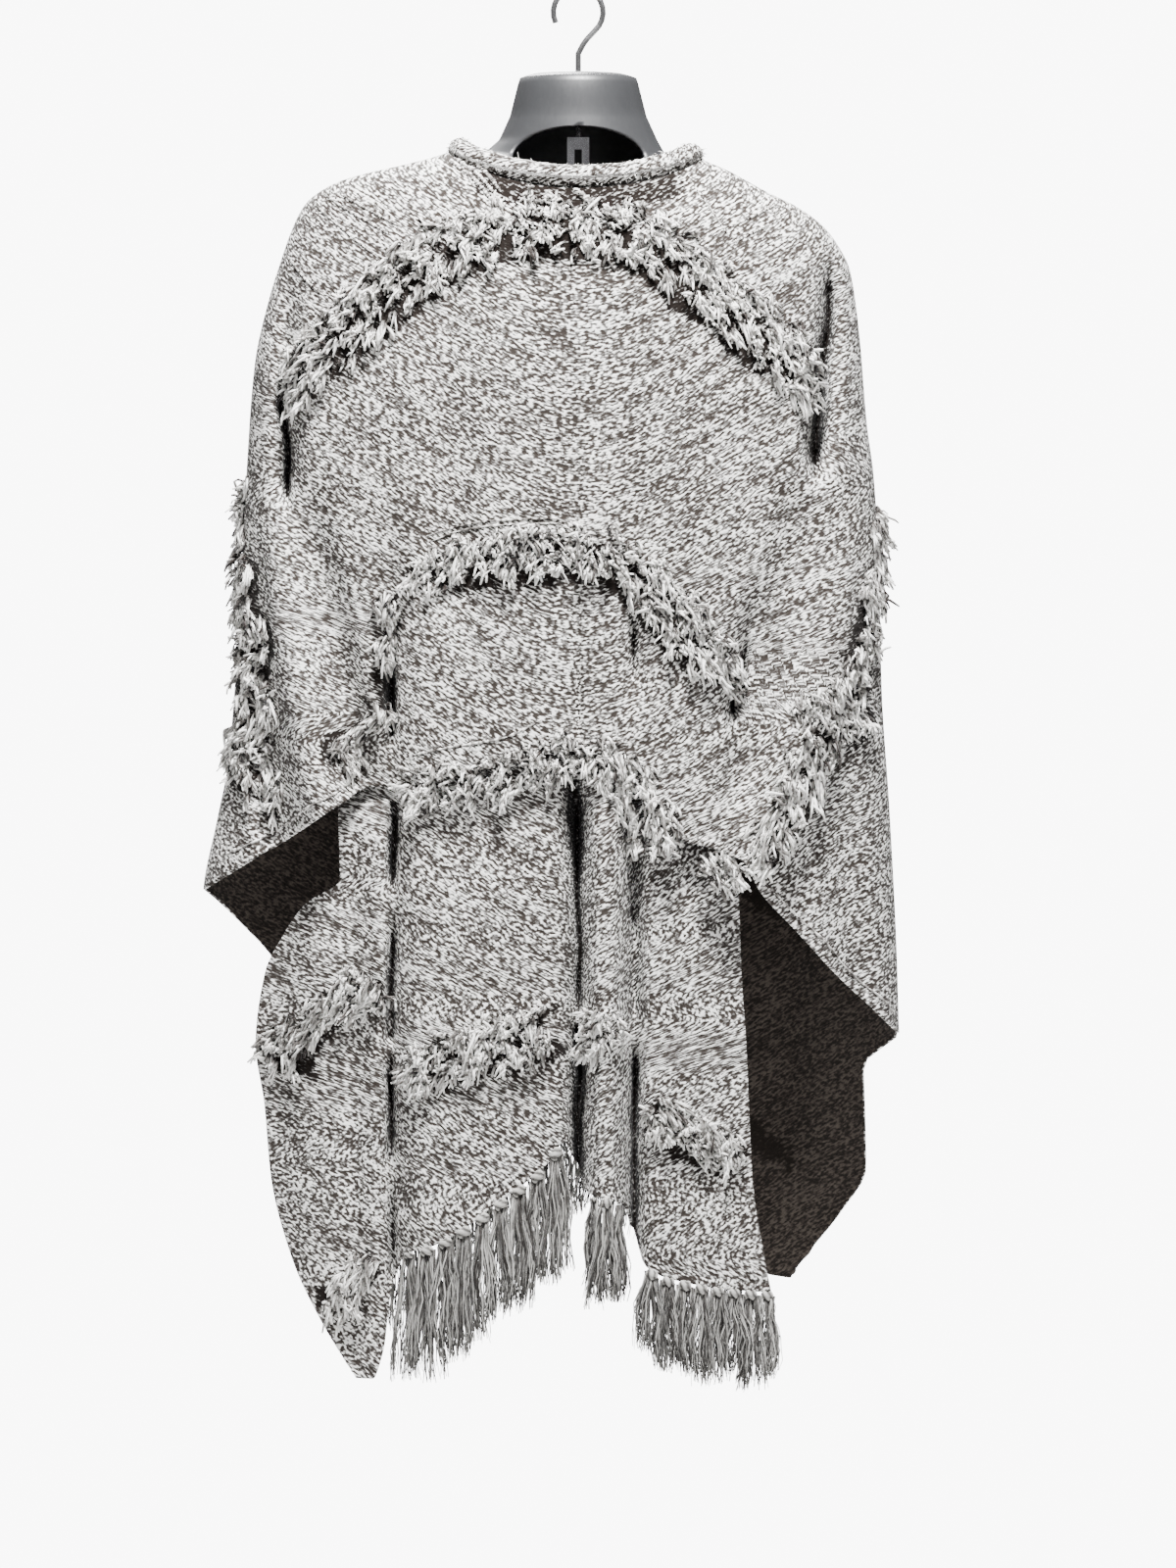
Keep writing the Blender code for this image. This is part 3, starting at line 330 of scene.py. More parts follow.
MAIN_CREASES = (
    Crease(-0.238, -0.235, -0.236, -0.412, 0.020, 0.010, 0.024, 0.06, True),
    Crease(0.209, -0.225, 0.193, -0.388, 0.021, 0.012, 0.030, 0.06, True),
    Crease(-0.150, -0.470, -0.150, -1.170, 0.026, 0.012, 0.026, 0.10, True),
    Crease(-0.001, -0.646, -0.001, -1.100, 0.018, 0.022, 0.027, 0.04, True),
    Crease(-0.001, -0.480, -0.001, -0.640, 0.014, 0.003, 0.005, 0.05),
    Crease(0.045, -0.672, 0.045, -1.150, 0.018, 0.020, 0.026, 0.04, True),
    Crease(0.045, -0.470, 0.045, -0.580, 0.016, 0.005, 0.008, 0.05),
)
DRAPE_CREASES = (
    Crease(-0.256, -0.430, -0.204, -0.700, 0.026, -0.012, -0.026, 0.08),
    Crease(-0.216, -0.430, -0.168, -0.660, 0.022, 0.010, 0.020, 0.08),
    Crease(0.235, -0.440, 0.150, -0.730, 0.034, -0.008, -0.016, 0.08),
    Crease(0.180, -0.420, 0.130, -0.660, 0.026, 0.008, 0.014, 0.08),
    Crease(0.215, -0.660, 0.225, -0.840, 0.026, 0.004, 0.012, 0.06),
)
UPPER_CREASES = MAIN_CREASES + DRAPE_CREASES + (
    Crease(0.142, -0.500, 0.125, -0.592, 0.020, 0.010, 0.022, 0.05, True),
    Crease(-0.110, -0.230, -0.100, -0.520, 0.030, 0.004, 0.008, 0.08),
    Crease(0.030, -0.260, 0.044, -0.470, 0.026, 0.004, 0.007, 0.08),
    Crease(-0.014, -0.250, -0.003, -0.480, 0.014, 0.003, 0.006, 0.08),
    Crease(-0.268, -0.450, -0.244, -0.720, 0.018, 0.008, 0.016, 0.08),
)
UPPER_SLOTS = (
    Crease(-0.151, -0.512, -0.151, -0.604, 0.007, 0.020, 0.034, 0.03, True, 0.002),
    Crease(-0.241, -0.330, -0.234, -0.412, 0.006, 0.020, 0.024, 0.04, True, 0.002),
    Crease(0.206, -0.230, 0.193, -0.384, 0.009, 0.016, 0.036, 0.05, True, 0.002),
    Crease(0.045, -0.478, 0.045, -0.560, 0.006, 0.010, 0.016, 0.03, True, 0.002),
    Crease(-0.001, -0.490, -0.001, -0.610, 0.005, 0.004, 0.009, 0.03, True, 0.002),
    Crease(0.138, -0.535, 0.125, -0.590, 0.008, 0.012, 0.024, 0.02, True, 0.002),
)
LOWER_CREASES = MAIN_CREASES + DRAPE_CREASES + (
    Crease(-0.210, -0.760, -0.205, -1.150, 0.034, -0.010, -0.010, 0.08),
    Crease(-0.176, -0.700, -0.178, -1.140, 0.018, 0.006, 0.008, 0.08),
    Crease(-0.080, -0.720, -0.090, -1.060, 0.044, -0.004, -0.009, 0.08),
    Crease(0.022, -0.660, 0.022, -1.030, 0.020, -0.012, -0.018, 0.08),
    Crease(0.092, -0.760, 0.104, -1.120, 0.034, -0.005, -0.009, 0.08),
)
LOWER_SLOTS = (
    Crease(-0.148, -0.660, -0.149, -0.726, 0.007, 0.018, 0.026, 0.03, True, 0.002),
    Crease(-0.149, -0.762, -0.153, -0.850, 0.006, 0.014, 0.030, 0.03, True, 0.002),
    Crease(-0.152, -0.876, -0.151, -0.948, 0.006, 0.026, 0.024, 0.03, True, 0.002),
    Crease(-0.150, -0.980, -0.150, -1.040, 0.005, 0.010, 0.016, 0.04, True, 0.002),
    Crease(-0.007, -0.632, 0.001, -0.716, 0.015, 0.024, 0.014, 0.05, True, 0.002),
    Crease(0.000, -0.660, 0.001, -0.830, 0.006, 0.014, 0.024, 0.03, True, 0.0015),
    Crease(0.001, -0.850, -0.001, -0.985, 0.008, 0.034, 0.030, 0.03, True, 0.002),
    Crease(0.045, -0.640, 0.047, -0.838, 0.010, 0.009, 0.008, 0.03, True, 0.002),
    Crease(0.046, -0.868, 0.046, -1.040, 0.007, 0.026, 0.024, 0.03, True, 0.002),
)
FRONT_CREASES = (
    Crease(-0.234, -0.235, -0.226, -0.420, 0.020, 0.010, 0.022, 0.06, True),
    Crease(0.205, -0.235, 0.198, -0.400, 0.020, 0.010, 0.024, 0.06, True),
    Crease(-0.118, -0.480, -0.132, -1.120, 0.026, 0.010, 0.024, 0.14, True),
    Crease(0.016, -0.560, 0.010, -1.080, 0.024, 0.006, 0.020, 0.14, True),
    Crease(0.112, -0.470, 0.118, -1.130, 0.026, 0.010, 0.024, 0.14, True),
    Crease(-0.190, -0.400, -0.186, -0.950, 0.034, -0.006, -0.010, 0.10),
    Crease(0.168, -0.400, 0.172, -0.930, 0.032, -0.006, -0.010, 0.10),
)


@dataclass(frozen=True)
class Outline:
    """The garment's outline from behind, and its depth, as the solids have them."""

    left: Table = (
        (-0.133, 0.107), (-0.137, 0.119), (-0.145, 0.151), (-0.151, 0.178), (-0.160, 0.203),
        (-0.174, 0.222), (-0.194, 0.233), (-0.219, 0.242), (-0.251, 0.252), (-0.305, 0.264),
        (-0.380, 0.270), (-0.456, 0.274), (-0.563, 0.280), (-0.632, 0.286), (-0.678, 0.295),
        (-0.734, 0.306), (-0.900, 0.312), (-1.140, 0.300),
    )
    right: Table = (
        (-0.139, 0.102), (-0.146, 0.119), (-0.165, 0.154), (-0.178, 0.180), (-0.194, 0.201),
        (-0.210, 0.213), (-0.226, 0.221), (-0.245, 0.225), (-0.286, 0.230), (-0.357, 0.236),
        (-0.394, 0.241), (-0.456, 0.245), (-0.574, 0.248), (-0.666, 0.254), (-0.784, 0.260),
        (-0.851, 0.262), (-0.950, 0.266), (-1.140, 0.262),
    )
    depths: Table = (
        (-0.130, 0.052, 0.050), (-0.145, 0.062, 0.060), (-0.166, 0.078, 0.074),
        (-0.190, 0.089, 0.088), (-0.220, 0.097, 0.100), (-0.270, 0.104, 0.113),
        (-0.340, 0.108, 0.120), (-0.480, 0.108, 0.120), (-0.640, 0.111, 0.117),
        (-0.850, 0.116, 0.118), (-1.140, 0.120, 0.124),
    )
    roundness: float = 2.3
    frame_top: float = -0.380
    rise: int = 4
    side_gap: float = 0.0

    def half_width(self, left: Array, z: Array) -> Array:
        """Distance of the outline from the middle, on the left where that is true."""
        return np.where(left, column(self.left, 1, z), column(self.right, 1, z))

    def fan_x(self, shares: Array, z: Array) -> Array:
        """x of columns that fan out from the neck and run straight down below the shoulders.

        Args:
            shares: Each column's share of the half width, negative on the left.
            z: Heights.

        Returns:
            x at each point.
        """
        left = shares < 0
        here = self.half_width(left, z)
        under = self.half_width(left, np.maximum(z, self.frame_top))
        return shares * (under + (here - under) * np.abs(shares) ** self.rise)

    def oval_y(self, side: Side, creases: Sequence[Crease], x: Array, z: Array) -> Array:
        """Depth of the cloth: an oval whose power is the roundness, pressed in by the creases.

        Args:
            side: The back or the front.
            creases: The folds on it.
            x: Positions across.
            z: Heights.

        Returns:
            y at each point.
        """
        share = np.clip(np.abs(x) / self.half_width(x < 0, z), 0, 1)
        depth = column(self.depths, 1 if side is Side.BACK else 2, z)
        oval = np.maximum(1 - share**self.roundness, 0) ** (1 / self.roundness)
        total = np.zeros(np.broadcast(x, z).shape)
        for crease in creases:
            total = total + crease.press(x, z)
        return side.value * (depth * oval - total * ramp((1 - share) / 0.12) + self.side_gap)


@dataclass
class ClothSheet:
    """One stretch of the woven cloth, as a grid of columns from its top edge to its hem."""

    name: str = "cloth"
    node: str = "node"
    outline: Outline = field(default_factory=Outline)
    side: Side = Side.BACK
    creases: tuple[Crease, ...] = ()
    slots: tuple[Crease, ...] = ()
    rows: int = 110
    hem_rows: int = 8
    hem_depth: float = 0.012
    hem_fold: float = 0.0075
    hem_lift: float = 0.0009
    low: float = -1.16
    top_start: float = -0.1325
    wall: float = 0.0021
    slub: float = 0.0009
    flat: tuple[float, float] = (1.0, 1.0)
    area: float = 0.5

    def shares(self) -> Array:
        """Positions of the columns."""
        raise NotImplementedError

    def x_at(self, shares: Array, z: Array) -> Array:
        """x of each column at a height."""
        return self.outline.fan_x(shares, z)

    def form_y(self, x: Array, z: Array) -> Array:
        """Depth of the cloth without its narrow slots."""
        return self.outline.oval_y(self.side, self.creases, x, z)

    def y_at(self, x: Array, z: Array) -> Array:
        """Depth of the cloth: its form pressed in by the slots, with soft unevenness."""
        share = np.clip(np.abs(x) / self.outline.half_width(x < 0, z), 0, 1)
        total = np.zeros(np.broadcast(x, z).shape)
        for slot in self.slots:
            total = total + slot.press(x, z)
        uneven = self.slub * (lumps(x, z, 0.021, 3) + 0.8 * lumps(x, z, 0.047, 4))
        return self.form_y(x, z) - self.side.value * (total - uneven) * ramp((1 - share) / 0.12)

    def top_z(self, x: Array) -> Array:
        """Height of the top edge."""
        raise NotImplementedError

    def hem_z(self, x: Array) -> Array:
        """Height of the hem."""
        raise NotImplementedError

    def shade(self, x: Array, z: Array) -> Array:
        """Tone of the cloth where nothing is sewn on it: 1 here, lower where a sheet paints shade."""
        return np.ones(np.broadcast(x, z).shape)

    def meet(self, edge_z: Callable[[Array], Array]) -> Array:
        """The height at which each column first comes down to an edge.

        Args:
            edge_z: The edge's height at x.

        Returns:
            One height for each column.
        """
        shares = self.shares()
        heights = np.linspace(self.top_start, self.low, 1400)
        over = heights[None, :] - edge_z(self.x_at(shares[:, None], heights[None, :]))
        first = np.argmax(over <= 0, axis=1)
        first = np.where((over <= 0).any(axis=1), np.maximum(first, 1), len(heights) - 1)
        row = np.arange(len(shares))
        above, below = over[row, first - 1], over[row, first]
        share = np.clip(above / np.where(above == below, 1, above - below), 0, 1)
        return heights[first - 1] + (heights[first] - heights[first - 1]) * share

    def grid(self) -> Array:
        """Points of the outer face: rows spaced down each column, and close together at the hem.

        Returns:
            Points as column by row by 3.
        """
        top, bottom = self.meet(self.top_z), self.meet(self.hem_z)
        run = np.linspace(0, 1, self.rows) ** 1.15
        body = top[:, None] + (bottom + self.hem_depth - top)[:, None] * run[None, :]
        last = np.linspace(1, 0, self.hem_rows + 1)[1:]
        z = np.concatenate([body, bottom[:, None] + self.hem_depth * last[None, :]], axis=1)
        x = self.x_at(self.shares()[:, None], z)
        above = z - bottom[:, None]
        lift = self.hem_lift * (1 - ramp((above - self.hem_fold + 0.001) / 0.001))
        lift = lift - self.hem_lift * ramp(1 - np.abs(above - self.hem_fold) / 0.0016)
        return np.stack([x, self.y_at(x, z) + self.side.value * lift, z], axis=-1)

    def build(self, measured: "ArcMap", bands: Sequence["ShagBand"]) -> bpy.types.Object:
        """Makes the sheet's shell, with its map: distance along the level section, and height.

        Its tone falls as painted shadow under and just below each shag band, and as painted shade deep in
        a slot.

        Args:
            measured: The sheet's own table of distances.
            bands: The shag bands sewn on it.

        Returns:
            The object.
        """
        points = self.grid()
        faces = grid_faces(points.shape[0], points.shape[1], self.side is Side.FRONT)
        arc = measured.arc_of(points[..., 0], points[..., 2])
        cloth_map = np.stack([arc, points[..., 2]], axis=-1)
        # Painted shade: the tone falls by the sheet's own painted shade, deep in each slot, then under
        # each shag band.
        deep = sum((slot.press(points[..., 0], points[..., 2]) for slot in self.slots), 0.0 * arc)
        tone = self.shade(points[..., 0], points[..., 2]) * (1 - 0.92 * ramp(deep / 0.014))
        for band in bands:
            tone = np.minimum(tone, 1 - band.painted_band_shade(measured, arc, points[..., 2]))
        obj = new_piece(self.name, points, faces.tolist(), uv=cloth_map, tone=tone)
        wall = obj.modifiers.new("wall", "SOLIDIFY")
        wall.thickness = self.wall
        wall.offset = -1.0
        wall.material_offset = 1
        across = np.cross(points[1:, 1:] - points[:-1, :-1], points[1:, :-1] - points[:-1, 1:])
        LOG.info("%s: %.3f m2", self.name, np.linalg.norm(across, axis=2).sum() / 2)
        return obj

    def dress(self, obj: bpy.types.Object, outside: "Finish", inside: "Finish") -> None:
        """Gives the two faces their materials, and joins the sheet to the frame.

        Args:
            obj: The shell.
            outside: The marled face.
            inside: The hidden face, a far darker copy of the weave as painted shade.
        """
        obj.data.materials.append(outside.material())
        obj.data.materials.append(inside.material())
        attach(obj, BODY)
        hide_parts(self.node)


def finer(stops: Sequence[float], times: int) -> Array:
    """Puts more columns between the given ones, evenly in each gap."""
    stops = np.asarray(stops, float)
    at = np.arange((len(stops) - 1) * times + 1) / times
    return np.interp(at, np.arange(len(stops)), stops)


NECK_LEFT = (-0.107, -0.133)
NECK_RIGHT = (0.102, -0.139)


def neck_edge(x: Array, middle: float) -> Array:
    """Height of the cloth's neck edge: it dips from both shoulders to its middle height.

    Args:
        x: Positions across.
        middle: The height at the middle.

    Returns:
        The height at each position.
    """
    side_x = np.where(x < 0, NECK_LEFT[0], NECK_RIGHT[0])
    side_z = np.where(x < 0, NECK_LEFT[1], NECK_RIGHT[1])
    inside = np.clip(1 - (x / side_x) ** 2, 0, 1)
    return side_z + (middle - side_z) * inside**0.8


@dataclass
class UpperBack(ClothSheet):
    """Shoulders and both side drapes, down to the free side edges and the third band."""

    name: str = "upper_back_cloth"
    node: str = "back_upper"
    creases: tuple[Crease, ...] = UPPER_CREASES
    slots: tuple[Crease, ...] = UPPER_SLOTS
    rows: int = 118
    low: float = -0.90
    flat: tuple[float, float] = (0.74, 0.72)
    area: float = 0.37
    neck_middle: float = -0.166
    hem: Table = (
        (-0.306, -0.734), (-0.232, -0.690), (-0.190, -0.664), (-0.168, -0.650),
        (-0.150, -0.650), (-0.112, -0.646), (-0.072, -0.636), (-0.020, -0.624),
        (0.020, -0.626), (0.046, -0.650), (0.062, -0.676), (0.086, -0.694), (0.112, -0.701),
        (0.134, -0.712), (0.146, -0.734), (0.172, -0.762), (0.216, -0.808), (0.262, -0.851),
    )
    left_columns: tuple[float, ...] = (
        1.0, 0.998, 0.985, 0.955, 0.92, 0.896, 0.876, 0.855, 0.82, 0.76, 0.70, 0.645, 0.60,
        0.573, 0.556, 0.539, 0.505, 0.45, 0.38, 0.30, 0.20, 0.11, 0.045,
    )
    right_columns: tuple[float, ...] = (
        0.0, 0.045, 0.10, 0.145, 0.187, 0.23, 0.30, 0.38, 0.45, 0.50, 0.54, 0.58, 0.64, 0.71,
        0.77, 0.805, 0.833, 0.86, 0.895, 0.93, 0.962, 0.985, 0.998, 1.0,
    )

    def shares(self) -> Array:
        """Columns of both halves, four times as close as the solid's."""
        return finer(np.concatenate([-np.array(self.left_columns), self.right_columns]), 4)

    def top_z(self, x: Array) -> Array:
        """Height of the neck edge behind."""
        return neck_edge(x, self.neck_middle)

    def hem_z(self, x: Array) -> Array:
        """Height of the free side edges and of the edge under the third band."""
        return along(self.hem, x)

    def shade(self, x: Array, z: Array) -> Array:
        """Tone of the cloth: painted shadow in a strip under the neckband, ragged below."""
        below = neck_edge(x, self.neck_middle) - z + 0.004 * lumps(x, z, 0.006, 23)
        return 1 - 0.85 * ramp((0.026 - below) / 0.008) * ramp((0.096 - np.abs(x)) / 0.02)


@dataclass
class LowerBack(ClothSheet):
    """The stretch from under the third band down to the knotted hem."""

    name: str = "lower_back_cloth"
    node: str = "back_lower"
    creases: tuple[Crease, ...] = LOWER_CREASES
    slots: tuple[Crease, ...] = LOWER_SLOTS
    rows: int = 96
    flat: tuple[float, float] = (0.46, 0.50)
    area: float = 0.22
    upper_hem: Table = UpperBack.hem
    sides: Table = (
        (-0.600, -0.196, 0.120), (-0.690, -0.193, 0.126), (-0.726, -0.193, 0.129),
        (-0.744, -0.220, 0.130), (-0.772, -0.240, 0.131), (-0.800, -0.254, 0.132),
        (-0.860, -0.262, 0.136), (-0.905, -0.255, 0.138), (-0.968, -0.249, 0.141),
        (-1.032, -0.232, 0.151), (-1.080, -0.209, 0.160), (-1.130, -0.178, 0.166),
    )
    hem: Table = (
        (-0.262, -1.124), (-0.166, -1.128), (-0.157, -1.105), (-0.150, -1.050),
        (-0.142, -1.028), (-0.120, -1.021), (-0.097, -1.009), (-0.063, -0.984),
        (-0.027, -0.956), (-0.010, -0.936), (-0.002, -0.950), (0.007, -0.976),
        (0.024, -0.982), (0.038, -0.986), (0.046, -1.012), (0.054, -1.036), (0.088, -1.050),
        (0.124, -1.056), (0.170, -1.060),
    )
    stops: tuple[float, ...] = (-0.150, -0.001, 0.045)
    counts: tuple[int, ...] = (34, 40, 26, 30)
    layer: float = 0.0028
    layer_left: float = 0.024
    layer_right: float = 0.016
    under_step: float = 0.0028
    under_fade: float = 0.014
    tuck_middle: float = 0.014
    tuck_side: float = 0.042

    def shares(self) -> Array:
        """Column numbers: a whole number stands on a crease."""
        parts = [i + np.arange(count) / count for i, count in enumerate(self.counts)]
        return np.concatenate(parts + [[len(self.counts) - 1e-9]])

    def x_at(self, shares: Array, z: Array) -> Array:
        """x of each column: the creases stand still, and the columns beyond them spread."""
        stops = [column(self.sides, 1, z)] + [np.full_like(z, stop) for stop in self.stops]
        stops.append(column(self.sides, 2, z))
        x = np.zeros(np.broadcast(shares, z).shape)
        for i in range(len(stops) - 1):
            share = np.clip(shares - i, 0, 1)
            here = (shares >= i) & (shares < i + 1)
            x = x + here * (stops[i] + (stops[i + 1] - stops[i]) * (share + ramp(share)) / 2)
        return x

    def form_y(self, x: Array, z: Array) -> Array:
        """Depth: one layer in from the upper stretch, and more under the side drapes."""
        step = self.layer + self.layer_left * ramp((-0.150 - x) / 0.060)
        step = step + self.layer_right * ramp((x - 0.048) / 0.055)
        under = self.under_step * ramp((z - along(self.upper_hem, x)) / self.under_fade + 1)
        return self.outline.oval_y(self.side, self.creases, x, z) + 2 * self.outline.side_gap \
            + step + under

    def top_z(self, x: Array) -> Array:
        """Height of the tucked edge above the upper stretch's hem."""
        side = np.maximum(ramp((-0.130 - x) / 0.05), ramp((x - 0.060) / 0.05))
        return along(self.upper_hem, x) + self.tuck_middle \
            + (self.tuck_side - self.tuck_middle) * side

    def hem_z(self, x: Array) -> Array:
        """Height of the knotted hem."""
        return along(self.hem, x)


@dataclass
class FrontCloth(ClothSheet):
    """The hidden side of the garment, from the neck to its own knotted hem."""

    name: str = "front_sheet"
    node: str = "front_cloth"
    side: Side = Side.FRONT
    creases: tuple[Crease, ...] = FRONT_CREASES
    low: float = -1.15
    flat: tuple[float, float] = (0.86, 0.92)
    area: float = 0.52
    neck_middle: float = -0.194
    tips: tuple[float, float] = (-0.734, -0.851)
    sides: Table = (
        (-0.734, -0.306, 0.257), (-0.764, -0.276, 0.259), (-0.796, -0.250, 0.260),
        (-0.851, -0.240, 0.262), (-0.880, -0.238, 0.235), (-0.913, -0.232, 0.236),
        (-0.964, -0.222, 0.237), (-1.000, -0.208, 0.217), (-1.058, -0.176, 0.169),
        (-1.080, -0.160, 0.150),
    )
    hem: Table = (
        (-0.306, -1.050), (-0.180, -1.040), (-0.120, -1.000), (-0.060, -0.958),
        (0.000, -0.938), (0.060, -0.964), (0.110, -1.010), (0.160, -1.054), (0.262, -1.062),
    )
    columns: tuple[float, ...] = (
        1.0, 0.998, 0.98, 0.94, 0.89, 0.83, 0.75, 0.66, 0.57, 0.49, 0.43, 0.35, 0.24, 0.12,
    )

    def shares(self) -> Array:
        """Columns of both halves, four times as close as the solid's."""
        half = np.array(self.columns)
        return finer(np.concatenate([-half, [0.0], half[::-1]]), 4)

    def x_at(self, shares: Array, z: Array) -> Array:
        """As the back's columns, but below the side tips they spread to the front's own edges."""
        lower = np.where(shares < 0, -column(self.sides, 1, z), column(self.sides, 2, z))
        tip = np.where(shares < 0, self.tips[0], self.tips[1])
        here = np.where(z < tip, lower, self.outline.half_width(shares < 0, z))
        under = self.outline.half_width(shares < 0, np.maximum(z, self.outline.frame_top))
        return shares * (under + (here - under) * np.abs(shares) ** self.outline.rise)

    def top_z(self, x: Array) -> Array:
        """Height of the neck edge in front."""
        return neck_edge(x, self.neck_middle)

    def hem_z(self, x: Array) -> Array:
        """Height of the front hem."""
        return along(self.hem, x)


@dataclass
class ArcMap:
    """A sheet's outer face as a table over height and distance along its level section."""

    sheet: ClothSheet
    reach: float = 0.46
    heights: Array = field(init=False)
    runs: Array = field(init=False)
    arcs: Array = field(init=False)
    table: Array = field(init=False)

    def __post_init__(self) -> None:
        """Measures each level section, and reads it again at even distances from its middle."""
        self.heights = np.linspace(-1.14, -0.134, 380)
        self.arcs = np.linspace(-self.reach, self.reach, 461)
        shares = np.sin(np.linspace(-math.pi / 2, math.pi / 2, 301))
        z = np.repeat(self.heights[:, None], len(shares), axis=1)
        x = shares[None, :] * self.sheet.outline.half_width(shares[None, :] < 0, z)
        points = np.stack([x, self.sheet.y_at(x, z), z], axis=-1)
        step = np.linalg.norm(np.diff(points, axis=1), axis=2)
        arc = np.concatenate([np.zeros((len(z), 1)), np.cumsum(step, axis=1)], axis=1)
        arc = arc - arc[:, 150:151]
        self.runs = arc
        normal = np.cross(np.gradient(points, axis=1), np.gradient(points, axis=0))
        normal *= -self.sheet.side.value
        normal /= np.maximum(np.linalg.norm(normal, axis=2, keepdims=True), 1e-12)
        whole = np.concatenate([points, normal], axis=2)
        rows = [[np.interp(self.arcs, a, w[:, k]) for k in range(6)] for a, w in zip(arc, whole)]
        self.table = np.moveaxis(np.array(rows), 1, 2)

    def arc_of(self, x: Array, z: Array) -> Array:
        """Distance along the section, in proportion between the table's heights and columns.

        Args:
            x: Positions across.
            z: Heights.

        Returns:
            The distances from the middle.
        """
        share = np.clip(x / self.sheet.outline.half_width(x < 0, z), -1, 1)
        j = np.clip((np.arcsin(share) / math.pi + 0.5) * 300, 0, 299.999)
        i = (z - self.heights[0]) / (self.heights[1] - self.heights[0])
        i = np.clip(i, 0, len(self.heights) - 1.001)
        a, b = i.astype(int), j.astype(int)
        s, t = i - a, j - b
        low = self.runs[a, b] * (1 - t) + self.runs[a, b + 1] * t
        high = self.runs[a + 1, b] * (1 - t) + self.runs[a + 1, b + 1] * t
        return low * (1 - s) + high * s

    def at(self, arc: Array, z: Array) -> tuple[Array, Array]:
        """Reads the surface between its table's points, in proportion.

        Args:
            arc: Distances along the section.
            z: Heights.

        Returns:
            The points, and the outward normals there.
        """
        i = (z - self.heights[0]) / (self.heights[1] - self.heights[0])
        j = (arc - self.arcs[0]) / (self.arcs[1] - self.arcs[0])
        i, j = np.clip(i, 0, len(self.heights) - 1.001), np.clip(j, 0, len(self.arcs) - 1.001)
        a, b = i.astype(int), j.astype(int)
        s, t = (i - a)[:, None], (j - b)[:, None]
        low = self.table[a, b] * (1 - t) + self.table[a, b + 1] * t
        high = self.table[a + 1, b] * (1 - t) + self.table[a + 1, b + 1] * t
        read = low * (1 - s) + high * s
        normal = read[:, 3:] / np.linalg.norm(read[:, 3:], axis=1, keepdims=True)
        return read[:, :3], normal


# Yarn


